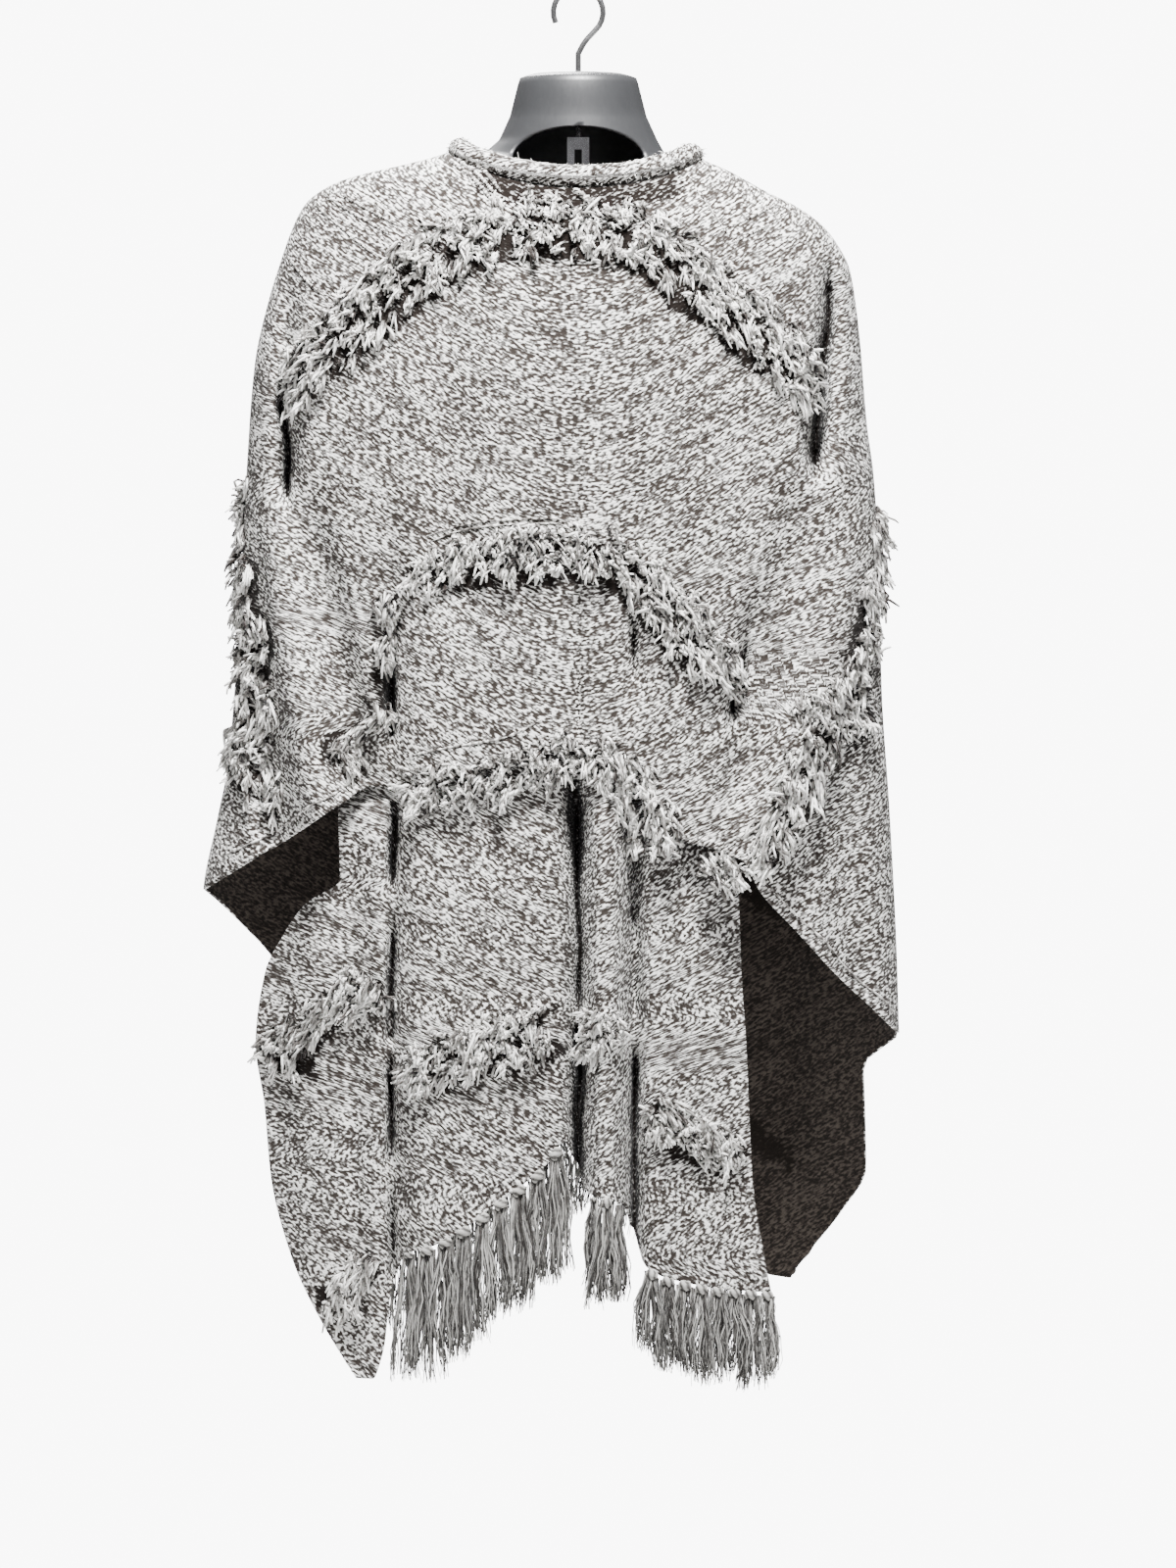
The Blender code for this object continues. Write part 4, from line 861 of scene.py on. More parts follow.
@dataclass
class ShagBand:
    """A band of looped yarn sewn across the cloth, in place of its solid locks."""

    node: str
    path: Table
    loops: int
    length: float = 0.0085
    half_height: float = 0.019
    drop: float = 0.012
    radius: float = 0.00108
    comb: float = 0.55
    tuft: int = 6
    shadow: float = 0.014
    bare: tuple[float, float] = (2.0, 2.0)

    def feet(self, rng: np.random.Generator, surface: ArcMap) -> tuple[Array, ...]:
        """Places the loops in tufts on both sides of the band's path.

        Args:
            rng: Random numbers.
            surface: The cloth that the band is sewn on.

        Returns:
            Each loop's foot, normal, upward way on the cloth, way down the path, share of the
            half height, and number of its tuft.
        """
        path = np.array(self.path)
        line = resampled(np.stack([surface.arc_of(path[:, 0], path[:, 1]), path[:, 1]], 1), 200)
        way = np.gradient(line, axis=0)
        way /= np.linalg.norm(way, axis=1)[:, None]
        tufts = self.loops // self.tuft
        place = rng.random(tufts)
        share = (place > self.bare[0]) & (place < self.bare[1])
        place = np.where(share, self.bare[0] * rng.random(tufts), place) * 199
        number = rng.integers(0, tufts, self.loops)
        along_it, spread = place[number], rng.uniform(-1, 1, tufts)[number]
        k = along_it.astype(int)
        part = (along_it - k)[:, None]
        middle = line[k] * (1 - part) + line[np.minimum(k + 1, 199)] * part
        up = np.stack([-way[k, 1], way[k, 0]], axis=1)
        up *= np.where(up[:, 1:] < 0, -1, 1)
        narrow = 0.55 + 0.45 * ramp(np.minimum(along_it, 199 - along_it) / 12)
        spot = middle + up * (spread * self.half_height * narrow)[:, None]
        spot = spot + rng.normal(0, 0.0013, spot.shape)
        spot[:, 1] -= self.drop
        foot, normal = surface.at(spot[:, 0], spot[:, 1])
        lift, _ = surface.at(spot[:, 0] + up[:, 0] * 0.002, spot[:, 1] + up[:, 1] * 0.002)
        rise = lift - foot
        rise /= np.maximum(np.linalg.norm(rise, axis=1, keepdims=True), 1e-9)
        ahead, _ = surface.at(spot[:, 0] + way[k, 0] * 0.003, spot[:, 1] + way[k, 1] * 0.003)
        comb = (ahead - foot) / 0.003
        comb *= np.where(comb[:, 2:] > 0, -1, 1) * np.abs(comb[:, 2:])
        return foot, normal, rise, comb, spread, number

    def painted_band_shade(self, surface: ArcMap, arc: Array, z: Array) -> Array:
        """How much painted shade shows: all under the loops' lower part and a shadow's width below, then
        ragged.

        Args:
            surface: The cloth that the band is sewn on.
            arc: Distances along the section.
            z: Heights.

        Returns:
            0 for plain cloth to 0.9 where the painted shade is full.
        """
        path = np.array(self.path)
        line = resampled(np.stack([surface.arc_of(path[:, 0], path[:, 1]), path[:, 1]], 1), 50)
        line[:, 1] -= self.drop
        way = np.gradient(line, axis=0)
        way /= np.linalg.norm(way, axis=1)[:, None]
        up = np.stack([-way[:, 1], way[:, 0]], axis=1)
        up *= np.where(up[:, 1:] < 0, -1, 1)
        narrow = 0.35 + 0.65 * ramp(np.minimum(np.arange(50), np.arange(50)[::-1]) / 6)
        best, over, size = np.full(arc.shape, 9.0), np.zeros(arc.shape), np.ones(arc.shape)
        for point, rise, share in zip(line, up, narrow):
            far = np.hypot(arc - point[0], z - point[1])
            near = far < best
            above = (arc - point[0]) * rise[0] + (z - point[1]) * rise[1]
            best, over = np.where(near, far, best), np.where(near, above, over)
            size = np.where(near, share, size)
        ragged = 0.004 * lumps(arc, z, 0.008, 21) + 0.002 * lumps(arc, z, 0.0035, 22)
        # Painted shadow: it reaches a shadow's width below the band's half height, narrower at the band's
        # ends.
        low = (self.half_height + self.shadow) * size + ragged
        top = ramp((self.half_height * 0.75 - over) / (self.half_height * 0.8))
        return 0.95 * top * ramp((low - best) / 0.006) * (best < low)

    def build(self, surface: ArcMap) -> bpy.types.Object:
        """Grows the loops: each leaves the cloth along its normal, curls, and droops to its tip.

        With u from 0 to 1 along a loop, its centre line is the foot plus its length times the
        starting direction times u (1 - u / 3) and the fall times u squared, with a sideways curl.
        The loops of a tuft share most of their direction.

        Args:
            surface: The cloth that the band is sewn on.

        Returns:
            The band's yarn.
        """
        rng = np.random.default_rng(sum(map(ord, self.node)))
        foot, normal, rise, comb, spread, number = self.feet(rng, surface)
        count = self.loops
        turn = rng.normal(0, 0.50, (number.max() + 1, 3))[number] + rng.normal(0, 0.22, (count, 3))
        start = normal * rng.uniform(0.55, 1.05, (count, 1)) + rise * spread[:, None] * 0.35
        start += turn + comb * self.comb
        start -= normal * np.minimum((start * normal).sum(1) - 0.35, 0)[:, None]
        sag = rng.uniform(0.15, 0.95, number.max() + 1)[number][:, None]
        fall = np.array([0, 0, -1.0]) * sag + comb * 0.3
        length = (self.length * rng.uniform(0.65, 1.35, count))[:, None, None]
        u = np.linspace(0, 1, 5)[None, :, None]
        curl = rng.normal(0, 0.5, (count, 1, 3)) * np.sin(math.pi * u * 1.4) * 0.42
        lines = foot[:, None] - normal[:, None] * 0.0006
        lines = lines + length * (start[:, None] * u * (1 - u / 3) + fall[:, None] * u**2 + curl)
        out = ((lines - foot[:, None]) * normal[:, None]).sum(2, keepdims=True)
        lines = lines + normal[:, None] * np.where(u > 0, np.maximum(0.0014 - out, 0), 0)
        radii = self.radius * np.array([0.6, 0.9, 1.1, 1.15, 0.8])[None, :]
        radii = radii * rng.uniform(0.7, 1.2, (count, 1))
        shade = rng.normal(0.70, 0.16, number.max() + 1)[number] + rng.normal(0, 0.26, count)
        # Painted shade: each loop's tone falls to near black at its foot, among the other loops.
        depth = np.array([0.02, 0.32, 0.82, 1.0, 1.05])[None, :]
        return yarns(self.node + "_yarn", lines, radii, np.clip(shade[:, None] * depth, 0, 1))

    def dress(self, obj: bpy.types.Object, finish: "Finish") -> None:
        """Gives the yarn its material, and joins the band to the frame."""
        obj.data.materials.append(finish.material())
        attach(obj, BODY)
        if self.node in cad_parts:
            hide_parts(self.node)


@dataclass
class WovenRidges:
    """Raised lines in the weave and along its edges, each a cord half sunk in the cloth."""

    name: str
    paths: tuple[Table, ...]
    radius: float = 0.0011
    steps: int = 60

    def build(self, surface: ArcMap) -> bpy.types.Object:
        """Lays a cord along each path, thicker and thinner by soft lumps.

        Args:
            surface: The cloth that the lines run on.

        Returns:
            The cords.
        """
        rng = np.random.default_rng(len(self.paths))
        lines = []
        for path in self.paths:
            table = np.array(path)
            spot = resampled(np.stack([surface.arc_of(table[:, 0], table[:, 1]), table[:, 1]], 1),
                             self.steps)
            foot, normal = surface.at(spot[:, 0], spot[:, 1])
            lines.append(foot + normal * self.radius * 0.25)
        lines = np.array(lines)
        radii = self.radius * rng.uniform(0.25, 1.2, lines.shape[:2])
        ends = np.minimum(np.arange(self.steps), np.arange(self.steps)[::-1]) / 5
        tone = np.clip(rng.normal(0.48, 0.32, lines.shape[:2]), 0.05, 1)
        return yarns(self.name, lines, radii * (0.3 + 0.7 * ramp(ends)), tone, sides=5)

    def dress(self, obj: bpy.types.Object, finish: "Finish") -> None:
        """Gives the cords their material, and joins them to the frame."""
        obj.data.materials.append(finish.material())
        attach(obj, BODY)


@dataclass
class KnotFringe:
    """A row of knotted tassels under a hem, in place of its solid strip and locks."""

    node: str
    start: float
    end: float
    tassels: int
    length: float
    strands: int = 96
    clumps: int = 4
    knot_share: float = 0.41
    knot_radius: float = 0.0042
    radius: float = 0.00062
    steps: int = 8

    def pitch(self) -> float:
        """Distance across from one tassel to the next."""
        return 2 * (self.end - self.start) / (2 * self.tassels - 1)

    def hem_spots(self, sheet: ClothSheet) -> tuple[Array, Array]:
        """Where each tassel is tied, and the hem's direction there.

        Args:
            sheet: The cloth above.

        Returns:
            The points and the unit directions.
        """
        step = (self.end - self.start) / (2 * self.tassels - 1)
        x = self.start + step * (2 * np.arange(self.tassels) + 0.5)
        points = []
        for at in (x - 0.003, x, x + 0.003):
            z = sheet.hem_z(at)
            points.append(np.stack([at, sheet.y_at(at, z), z], axis=1))
        way = points[2] - points[0]
        return points[1], way / np.linalg.norm(way, axis=1)[:, None]

    def knots(self, spots: Array, ways: Array) -> tuple[Array, list[list[int]]]:
        """Tied knots: an oval along the hem whose radius swells and narrows where the yarn turns.

        Args:
            spots: The hem's points.
            ways: The hem's directions.

        Returns:
            The vertices and the faces.
        """
        turns, rings = 12, 9
        lat = np.linspace(0.04, math.pi - 0.04, rings)
        lon = np.linspace(0, 2 * math.pi, turns, endpoint=False)
        half = self.knot_share * self.pitch()
        long_part = np.cos(lat)[None, :] * np.ones((turns, 1)) * half
        swell = 1 + 0.20 * np.sin(2 * lon[:, None] + 1.9 * np.arange(rings)[None, :])
        deep = np.sin(lat)[None, :] ** 0.7 * np.cos(lon)[:, None] * self.knot_radius * swell
        high = np.sin(lat)[None, :] ** 0.7 * np.sin(lon)[:, None] * self.knot_radius * swell
        y_way = np.array([0.0, 1.0, 0.0])
        z_way = np.cross(ways, y_way)
        points = spots[:, None, None] + ways[:, None, None] * long_part[..., None]
        points = points + y_way * deep[..., None] + z_way[:, None, None] * high[..., None]
        one = grid_faces(turns, rings, closed=True, flip=True)
        caps = [list(range(0, turns * rings, rings))]
        caps.append(list(range(rings - 1, turns * rings, rings))[::-1])
        faces = []
        for i in range(len(spots)):
            base = i * turns * rings
            faces += (one + base).tolist() + [[k + base for k in cap] for cap in caps]
        return points.reshape(-1, 3), faces

    def build(self, sheet: ClothSheet) -> list[bpy.types.Object]:
        """Makes the knots and the strands that hang from them, in clumps.

        A strand falls straight from its knot, spreads in proportion to how far it has fallen, and
        sways by slow sines, of which one is its clump's and one its own.

        Args:
            sheet: The cloth above.

        Returns:
            The strands, and the knots.
        """
        rng = np.random.default_rng(sum(map(ord, self.node)))
        spots, ways = self.hem_spots(sheet)
        spots = spots + np.array([0, sheet.side.value * 0.0006, -0.0028])
        points, faces = self.knots(spots, ways)
        turn = np.tile(np.arange(12 * 9), len(spots))
        # Painted shade: each knot is paler on its swelling wraps and darker in the grooves between them,
        # with a random tone on top.
        painted_wrap_shade = np.sin((turn // 9) * 2 * math.pi / 12 * 2 + (turn % 9) * 1.9)
        tone = np.clip(0.66 + 0.34 * painted_wrap_shade + 0.12 * rng.uniform(-1, 1, len(points)), 0.1, 1)
        knots = new_piece(self.node + "_knots", points, faces, tone=tone)
        pitch = self.pitch()
        bunches = self.tassels * self.clumps
        count = self.tassels * self.strands
        home = np.repeat(np.arange(self.tassels), self.strands)
        bunch = home * self.clumps + rng.integers(0, self.clumps, count)
        bunch_side = np.tile(np.linspace(-0.75, 0.75, self.clumps), self.tassels)
        bunch_side = bunch_side + rng.normal(0, 0.12, bunches)
        bunch_lean, bunch_phase = rng.normal(0, 0.0030, bunches), rng.uniform(0, 6, bunches)
        bunch_length = rng.uniform(0.86, 1.03, bunches)
        across = bunch_side[bunch] + rng.uniform(-0.30, 0.30, count)
        deep = rng.uniform(-1, 1, count)
        u = np.linspace(0, 1, self.steps)[None, :]
        length = self.length * (1 + 0.06 * np.sin(2.4 * home)) * bunch_length[bunch]
        length = length * rng.uniform(0.86, 1.03, count)
        root = spots[home] + ways[home] * (np.clip(across, -1, 1) * 0.42 * pitch)[:, None]
        x = root[:, :1] + (across * 0.36 * pitch)[:, None] * ramp(u * 1.8)
        x = x + (bunch_lean[bunch] + rng.normal(0, 0.0022, count))[:, None] * u
        x = x + 0.0016 * np.sin(7 * u + bunch_phase[bunch][:, None]) * ramp(u * 3)
        x = x + 0.0011 * np.sin(u * rng.uniform(9, 22, (count, 1)) + 6 * deep[:, None])
        y = root[:, 1:2] + 0.0034 * deep[:, None] * ramp(u * 4 + 0.3)
        y = y + 0.0008 * np.sin(u * rng.uniform(6, 16, (count, 1)) + 9 * across[:, None])
        z = root[:, 2:] - length[:, None] * u
        lines = np.stack([x, y, z], axis=-1)
        radii = self.radius * rng.uniform(0.7, 1.4, (count, 1)) * (1 - 0.5 * u**3)
        shade = rng.normal(0.50, 0.30, (count, 1)) + 0.12 * rng.normal(0, 1, (count, self.steps))
        # Painted shade: each strand is darker at its top, just under its knot.
        shade = np.clip(shade * (0.45 + 0.55 * ramp(u * 6)), 0, 1)
        return [yarns(self.node + "_strands", lines, radii, shade), knots]

    def dress(self, made: list[bpy.types.Object], finish: "Finish") -> None:
        """Gives the fringe its material, and joins it to the frame."""
        for obj in made:
            obj.data.materials.append(finish.material())
            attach(obj, BODY)
        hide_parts(self.node)


@dataclass
class NeckRoll:
    """The rolled band round the neck opening."""

    node: str = "neck_roll"
    radius: float = 0.0095
    gap: float = 0.0013
    rings: int = 260
    turns: int = 24
    slub: float = 0.0006
    hairs: int = 1300

    def path(self, back: Array, front: Array) -> Array:
        """The roll's middle line: both top edges, carried on past the seam gap, evenly spaced.

        Args:
            back: The back's grid.
            front: The front's grid.

        Returns:
            A closed loop of points.
        """
        halves = []
        for grid in (back, front):
            way = grid[:, 0] - grid[:, 4]
            way /= np.linalg.norm(way, axis=1)[:, None]
            halves.append(grid[:, 0] + way * (self.radius + self.gap))
        loop = np.concatenate([halves[0], halves[1][::-1]])
        loop = np.concatenate([loop, loop[:1]])
        run = np.concatenate([[0], np.cumsum(np.linalg.norm(np.diff(loop, axis=0), axis=1))])
        at = np.linspace(0, run[-1], self.rings, endpoint=False)
        even = np.stack([np.interp(at, run, loop[:, k]) for k in range(3)], axis=1)
        for _ in range(6):
            even = (np.roll(even, 1, 0) + 2 * even + np.roll(even, -1, 0)) / 4
        return even

    def build(self, back: Array, front: Array) -> list[bpy.types.Object]:
        """Carries a round section along the loop, with lumps of yarn, and sets short hairs on it.

        A point is the middle line plus the radius times the cosine of its turn outwards and the
        sine upwards, and the radius swells by soft lumps.

        Args:
            back: The back's grid.
            front: The front's grid.

        Returns:
            The roll and its hairs.
        """
        middle = self.path(back, front)
        way = np.roll(middle, -1, 0) - np.roll(middle, 1, 0)
        way /= np.linalg.norm(way, axis=1)[:, None]
        out = np.cross(way, np.array([0.0, 0.0, 1.0]))
        out /= np.linalg.norm(out, axis=1)[:, None]
        up = np.cross(out, way)
        turn = np.linspace(0, 2 * math.pi, self.turns, endpoint=False)
        run = np.arange(self.rings) / self.rings
        length = np.linalg.norm(np.roll(middle, -1, 0) - middle, axis=1).sum()
        swell = lumps(run[:, None] * length, turn[None, :] * self.radius, 0.0042, 11)
        swell = self.radius + self.slub * (swell - 0.5)
        ring = out[:, None] * np.cos(turn)[None, :, None] + up[:, None] * np.sin(turn)[None, :, None]
        points = middle[:, None] + ring * swell[..., None]
        at = np.arange(self.rings * self.turns).reshape(self.rings, self.turns)
        far = np.roll(at, -1, 0)
        quads = np.stack([at, far, np.roll(far, -1, 1), np.roll(at, -1, 1)], axis=-1)
        uv = np.stack(np.broadcast_arrays(
            run[:, None] * length, turn[None, :] * self.radius + 0.0 * run[:, None]), axis=-1)
        tone = 0.86 + 0.14 * lumps(run[:, None] * length, turn[None, :] * self.radius, 0.003, 12)
        # Painted shade: the roll is darker on its underside.
        tone = tone * (1 - 0.62 * ramp((-np.sin(turn + 0.30) - 0.10) / 0.55))[None, :]
        faces = quads.reshape(-1, 4)[:, ::-1].tolist()
        roll = new_piece("neckband", points, faces, uv=uv, tone=tone)
        rng = np.random.default_rng(5)
        i = rng.integers(0, self.rings, self.hairs)
        j = rng.integers(0, self.turns, self.hairs)
        foot, normal = points[i, j], ring[i, j]
        start = normal * rng.uniform(0.2, 0.7, (self.hairs, 1)) + rng.normal(0, 0.5, (self.hairs, 3))
        u = np.linspace(0, 1, 4)[None, :, None]
        size = rng.uniform(0.0012, 0.0030, (self.hairs, 1, 1))
        lines = foot[:, None] + size * (start[:, None] * u + np.array([0, 0, -0.4]) * u**2)
        out = ((lines - middle[i][:, None]) * normal[:, None]).sum(2, keepdims=True)
        lines = lines + normal[:, None] * np.maximum(self.radius * 0.97 - out, 0)
        radii = 0.00042 * np.array([0.9, 1.0, 0.9, 0.4])[None, :] * np.ones((self.hairs, 1))
        tone = np.clip(rng.normal(0.6, 0.2, (self.hairs, 1)), 0, 1) * np.ones((1, 4))
        return [roll, yarns("neckband_hairs", lines, radii, tone)]

    def dress(self, made: list[bpy.types.Object], cloth: "Finish", yarn: "Finish") -> None:
        """Gives the roll and its hairs their materials, and joins them to the frame."""
        for obj, finish in zip(made, (cloth, yarn)):
            obj.data.materials.append(finish.material())
            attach(obj, BODY)
        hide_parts(self.node)


@dataclass
class TorsoForm:
    """The hollow torso form: turned neck, shoulders and waist, open below and behind."""

    node: str = "form_shell"
    levels: Table = (
        (-0.071, 0.0027, 0.0027, 0.0027, 0.0027), (-0.0712, 0.016, 0.016, 0.014, 0.014),
        (-0.0715, 0.036, 0.036, 0.031, 0.031), (-0.074, 0.0455, 0.0455, 0.040, 0.040),
        (-0.084, 0.048, 0.048, 0.042, 0.042), (-0.104, 0.053, 0.053, 0.044, 0.045),
        (-0.124, 0.062, 0.062, 0.048, 0.050), (-0.138, 0.078, 0.070, 0.050, 0.050),
        (-0.144, 0.112, 0.080, 0.051, 0.051), (-0.150, 0.144, 0.100, 0.052, 0.052),
        (-0.160, 0.182, 0.131, 0.054, 0.054), (-0.174, 0.200, 0.159, 0.059, 0.058),
        (-0.194, 0.209, 0.189, 0.068, 0.066), (-0.210, 0.206, 0.196, 0.074, 0.076),
        (-0.230, 0.178, 0.174, 0.080, 0.086), (-0.290, 0.166, 0.164, 0.086, 0.104),
        (-0.360, 0.152, 0.152, 0.084, 0.108), (-0.440, 0.140, 0.140, 0.080, 0.098),
        (-0.520, 0.138, 0.138, 0.080, 0.096),
    )
    wall: float = 0.003
    arch_half_width: float = 0.053
    arch_top: float = -0.114
    arch_spring: float = -0.142
    jamb_foot: float = -0.165
    opening_top: float = -0.215
    opening_half_width: float = 0.110
    columns: int = 72

    def opening(self, z: Array) -> Array:
        """Half width of the open back: a half ellipse, then straight jambs, then splayed edges."""
        share = np.clip((z - self.arch_spring) / (self.arch_top - self.arch_spring), 0, 1)
        arch = self.arch_half_width * np.sqrt(1 - share**2)
        splay = np.clip((self.jamb_foot - z) / (self.jamb_foot - self.opening_top), 0, 1)
        wide = arch + (self.opening_half_width - self.arch_half_width) * splay
        return np.where(z < self.arch_top, wide, 0.0)

    def heights(self) -> Array:
        """Heights of the rings: the table's own ones with more between, closest at the arch."""
        table = np.array([row[0] for row in self.levels])
        above = finer(table[table > self.arch_top], 3)
        arch = self.arch_spring + (self.arch_top - self.arch_spring) * np.sin(
            np.linspace(math.pi / 2, 0, 13))
        below = finer(np.concatenate([[self.arch_spring], table[table < self.arch_spring]]), 4)
        return np.concatenate([above, np.linspace(above[-1], arch[0], 4)[1:-1], arch, below[1:]])

    def build(self) -> bpy.types.Object:
        """Makes the shell: each ring runs from one edge of the open back round to the other.

        A ring's point is the left or right half width times the cosine of its turn, and the depth
        behind or in front times the sine.

        Returns:
            The object.
        """
        z = self.heights()
        sizes = []
        for k in range(1, 5):
            rows = np.array(self.levels)[::-1]
            sizes.append(np.interp(z, rows[:, 0], rows[:, k]))
        left, right, behind, front = sizes
        open_half = self.opening(z)
        first = -np.arccos(np.clip(open_half / right, 0, 1))
        last = math.pi + np.arccos(np.clip(open_half / left, 0, 1))
        share = np.linspace(0, 1, self.columns)[:, None]
        turn = first[None, :] + (last - first)[None, :] * share
        x = np.where(np.cos(turn) < 0, left, right) * np.cos(turn)
        y = np.where(np.sin(turn) < 0, behind, front) * np.sin(turn)
        points = np.stack([x, y, np.repeat(z[None, :], self.columns, 0)], axis=-1)
        faces = grid_faces(self.columns, len(z), True)
        shut = np.flatnonzero(open_half == 0)
        swap = np.arange(self.columns * len(z))
        swap[(self.columns - 1) * len(z) + shut] = shut
        obj = new_piece("form", points, swap[faces].tolist())
        mesh = obj.data
        wall = obj.modifiers.new("wall", "SOLIDIFY")
        wall.thickness = self.wall
        wall.offset = -1.0
        used = np.zeros(len(mesh.vertices), bool)
        used[np.unique(swap[faces])] = True
        drop_loose(obj, used)
        return obj

    def dress(self, obj: bpy.types.Object, finish: "Finish") -> None:
        """Gives the form its material, and joins it to the frame."""
        obj.data.materials.append(finish.material())
        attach(obj, BODY)
        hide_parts(self.node)


def drop_loose(obj: bpy.types.Object, used: Array) -> None:
    """Removes the vertices that no face uses.

    Args:
        obj: A mesh object.
        used: True for each vertex that stays.
    """
    old = obj.data
    points = np.empty(len(old.vertices) * 3)
    old.vertices.foreach_get("co", points)
    corner = np.empty(len(old.loops), np.int32)
    old.loops.foreach_get("vertex_index", corner)
    number = np.cumsum(used) - 1
    mesh = bpy.data.meshes.new(obj.name)
    faces = number[corner].reshape(-1, 4)
    mesh.from_pydata(points.reshape(-1, 3)[used].tolist(), [], faces.tolist())
    mesh.shade_smooth()
    obj.data = mesh
    bpy.data.meshes.remove(old)


# Finishes


class Graph:
    """Adds and links nodes in one material or node group."""

    def __init__(self, tree: bpy.types.NodeTree) -> None:
        """Keeps the tree."""
        self.tree = tree

    def add(self, kind: str, **values: object) -> bpy.types.Node:
        """Adds a node.

        Args:
            kind: The node's type name, without its prefix.
            values: Attributes of the node, or inputs by name with an underscore for a space.

        Returns:
            The node.
        """
        node = self.tree.nodes.new("ShaderNode" + kind)
        for name, value in values.items():
            if hasattr(node, name):
                setattr(node, name, value)
            else:
                self.put(node, name.replace("_", " "), value)
        return node

    def put(self, node: bpy.types.Node, name: str, value: object) -> None:
        """Sets an input, or links a socket into it."""
        if isinstance(value, bpy.types.NodeSocket):
            self.tree.links.new(value, node.inputs[name])
        else:
            node.inputs[name].default_value = value

    def math(self, kind: str, first: object, second: object = 0.0) -> bpy.types.NodeSocket:
        """Adds a sum of two values, and returns its result."""
        node = self.add("Math", operation=kind)
        self.put_at(node, 0, first)
        self.put_at(node, 1, second)
        return node.outputs[0]

    def put_at(self, node: bpy.types.Node, index: int, value: object) -> None:
        """Sets or links an input by its number."""
        if isinstance(value, bpy.types.NodeSocket):
            self.tree.links.new(value, node.inputs[index])
        else:
            node.inputs[index].default_value = value

    def scaled(self, vector: bpy.types.NodeSocket, by: tuple[float, float, float]) -> bpy.types.NodeSocket:
        """Multiplies a vector by three factors."""
        node = self.add("VectorMath", operation="MULTIPLY")
        self.put_at(node, 0, vector)
        self.put_at(node, 1, by)
        return node.outputs[0]

    def ramp(self, value: bpy.types.NodeSocket, stops: Sequence[tuple[float, tuple[float, float, float]]]) -> bpy.types.NodeSocket:
        """Turns a value into a colour through stops."""
        node = self.add("ValToRGB")
        points = node.color_ramp.elements
        while len(points) < len(stops):
            points.new(0.5)
        for point, (place, colour) in zip(points, stops):
            point.position = place
            point.color = (*colour, 1.0)
        self.put_at(node, 0, value)
        return node.outputs[0]


def new_group(name: str, inputs: Sequence[tuple[str, str, float]], outputs: Sequence[tuple[str, str]]) -> tuple[bpy.types.NodeTree, Graph, bpy.types.Node, bpy.types.Node]:
    """Makes a shader node group with named sockets.

    Args:
        name: The group's name.
        inputs: Name, kind and default of each input; a vector has no default.
        outputs: Name and kind of each output.

    Returns:
        The group, its graph, its input node and its output node.
    """
    tree = bpy.data.node_groups.new(name, "ShaderNodeTree")
    for label, kind, default in inputs:
        socket = tree.interface.new_socket(label, in_out="INPUT", socket_type="NodeSocket" + kind)
        if kind == "Float":
            socket.default_value = default
    for label, kind in outputs:
        tree.interface.new_socket(label, in_out="OUTPUT", socket_type="NodeSocket" + kind)
    start, end = tree.nodes.new("NodeGroupInput"), tree.nodes.new("NodeGroupOutput")
    return tree, Graph(tree), start, end


def marl_group() -> bpy.types.NodeTree:
    """The marled weave: short pale and dark dashes that lean towards the middle of the sheet.

    With a the distance from the middle, b the same softened at 0 and held back at the sides, and
    t the lean, the dashes lie along z cos t less b sin t, and weaker rows cross them along z cos t
    plus b sin t. The mark is a mix of noises stretched along the two and a broader one.

    Returns:
        The group: Vector, Lean, Fine and Soft in; Mark and Relief out.
    """
    name = "marled weave"
    if name in bpy.data.node_groups:
        return bpy.data.node_groups[name]
    tree, graph, start, end = new_group(
        name,
        (("Vector", "Vector", 0.0), ("Lean", "Float", 0.66), ("Fine", "Float", 1.0),
         ("Soft", "Float", 0.07)),
        (("Mark", "Float"), ("Relief", "Float")),
    )
    split = graph.add("SeparateXYZ")
    graph.put(split, "Vector", start.outputs["Vector"])
    a, z = split.outputs["X"], split.outputs["Y"]
    soft = start.outputs["Soft"]
    soft = graph.math("ADD", graph.math("MULTIPLY", a, a), graph.math("MULTIPLY", soft, soft))
    soft = graph.math("DIVIDE", graph.math("SQRT", soft), 0.34)
    lean = start.outputs["Lean"]
    side = graph.math("MULTIPLY", graph.math("TANH", soft), 0.34)
    side = graph.math("MULTIPLY", side, graph.math("SINE", lean))
    level = graph.math("MULTIPLY", z, graph.math("COSINE", lean))
    falling, rising = graph.math("SUBTRACT", level, side), graph.math("ADD", level, side)
    noises = []
    for across, fine_a, fine_b, seed in (
            (falling, 215.0, 600.0, 0.0), (rising, 190.0, 500.0, 4.7), (falling, 26.0, 120.0, 9.1)):
        place = graph.add("CombineXYZ", Z=seed)
        graph.put(place, "X", graph.math("MULTIPLY", a, fine_a))
        graph.put(place, "Y", graph.math("MULTIPLY", across, fine_b))
        noise = graph.add("TexNoise", Scale=start.outputs["Fine"], Detail=1.0, Roughness=0.5)
        graph.put(noise, "Vector", place.outputs[0])
        noises.append(noise.outputs[0])
    mark = graph.math("MULTIPLY", noises[0], 0.62)
    mark = graph.math("ADD", mark, graph.math("MULTIPLY", noises[1], 0.20))
    mark = graph.math("ADD", mark, graph.math("MULTIPLY", noises[2], 0.18))
    relief = graph.math("ADD", mark, graph.math("MULTIPLY", noises[2], 0.35))
    tree.links.new(mark, end.inputs["Mark"])
    tree.links.new(relief, end.inputs["Relief"])
    return tree


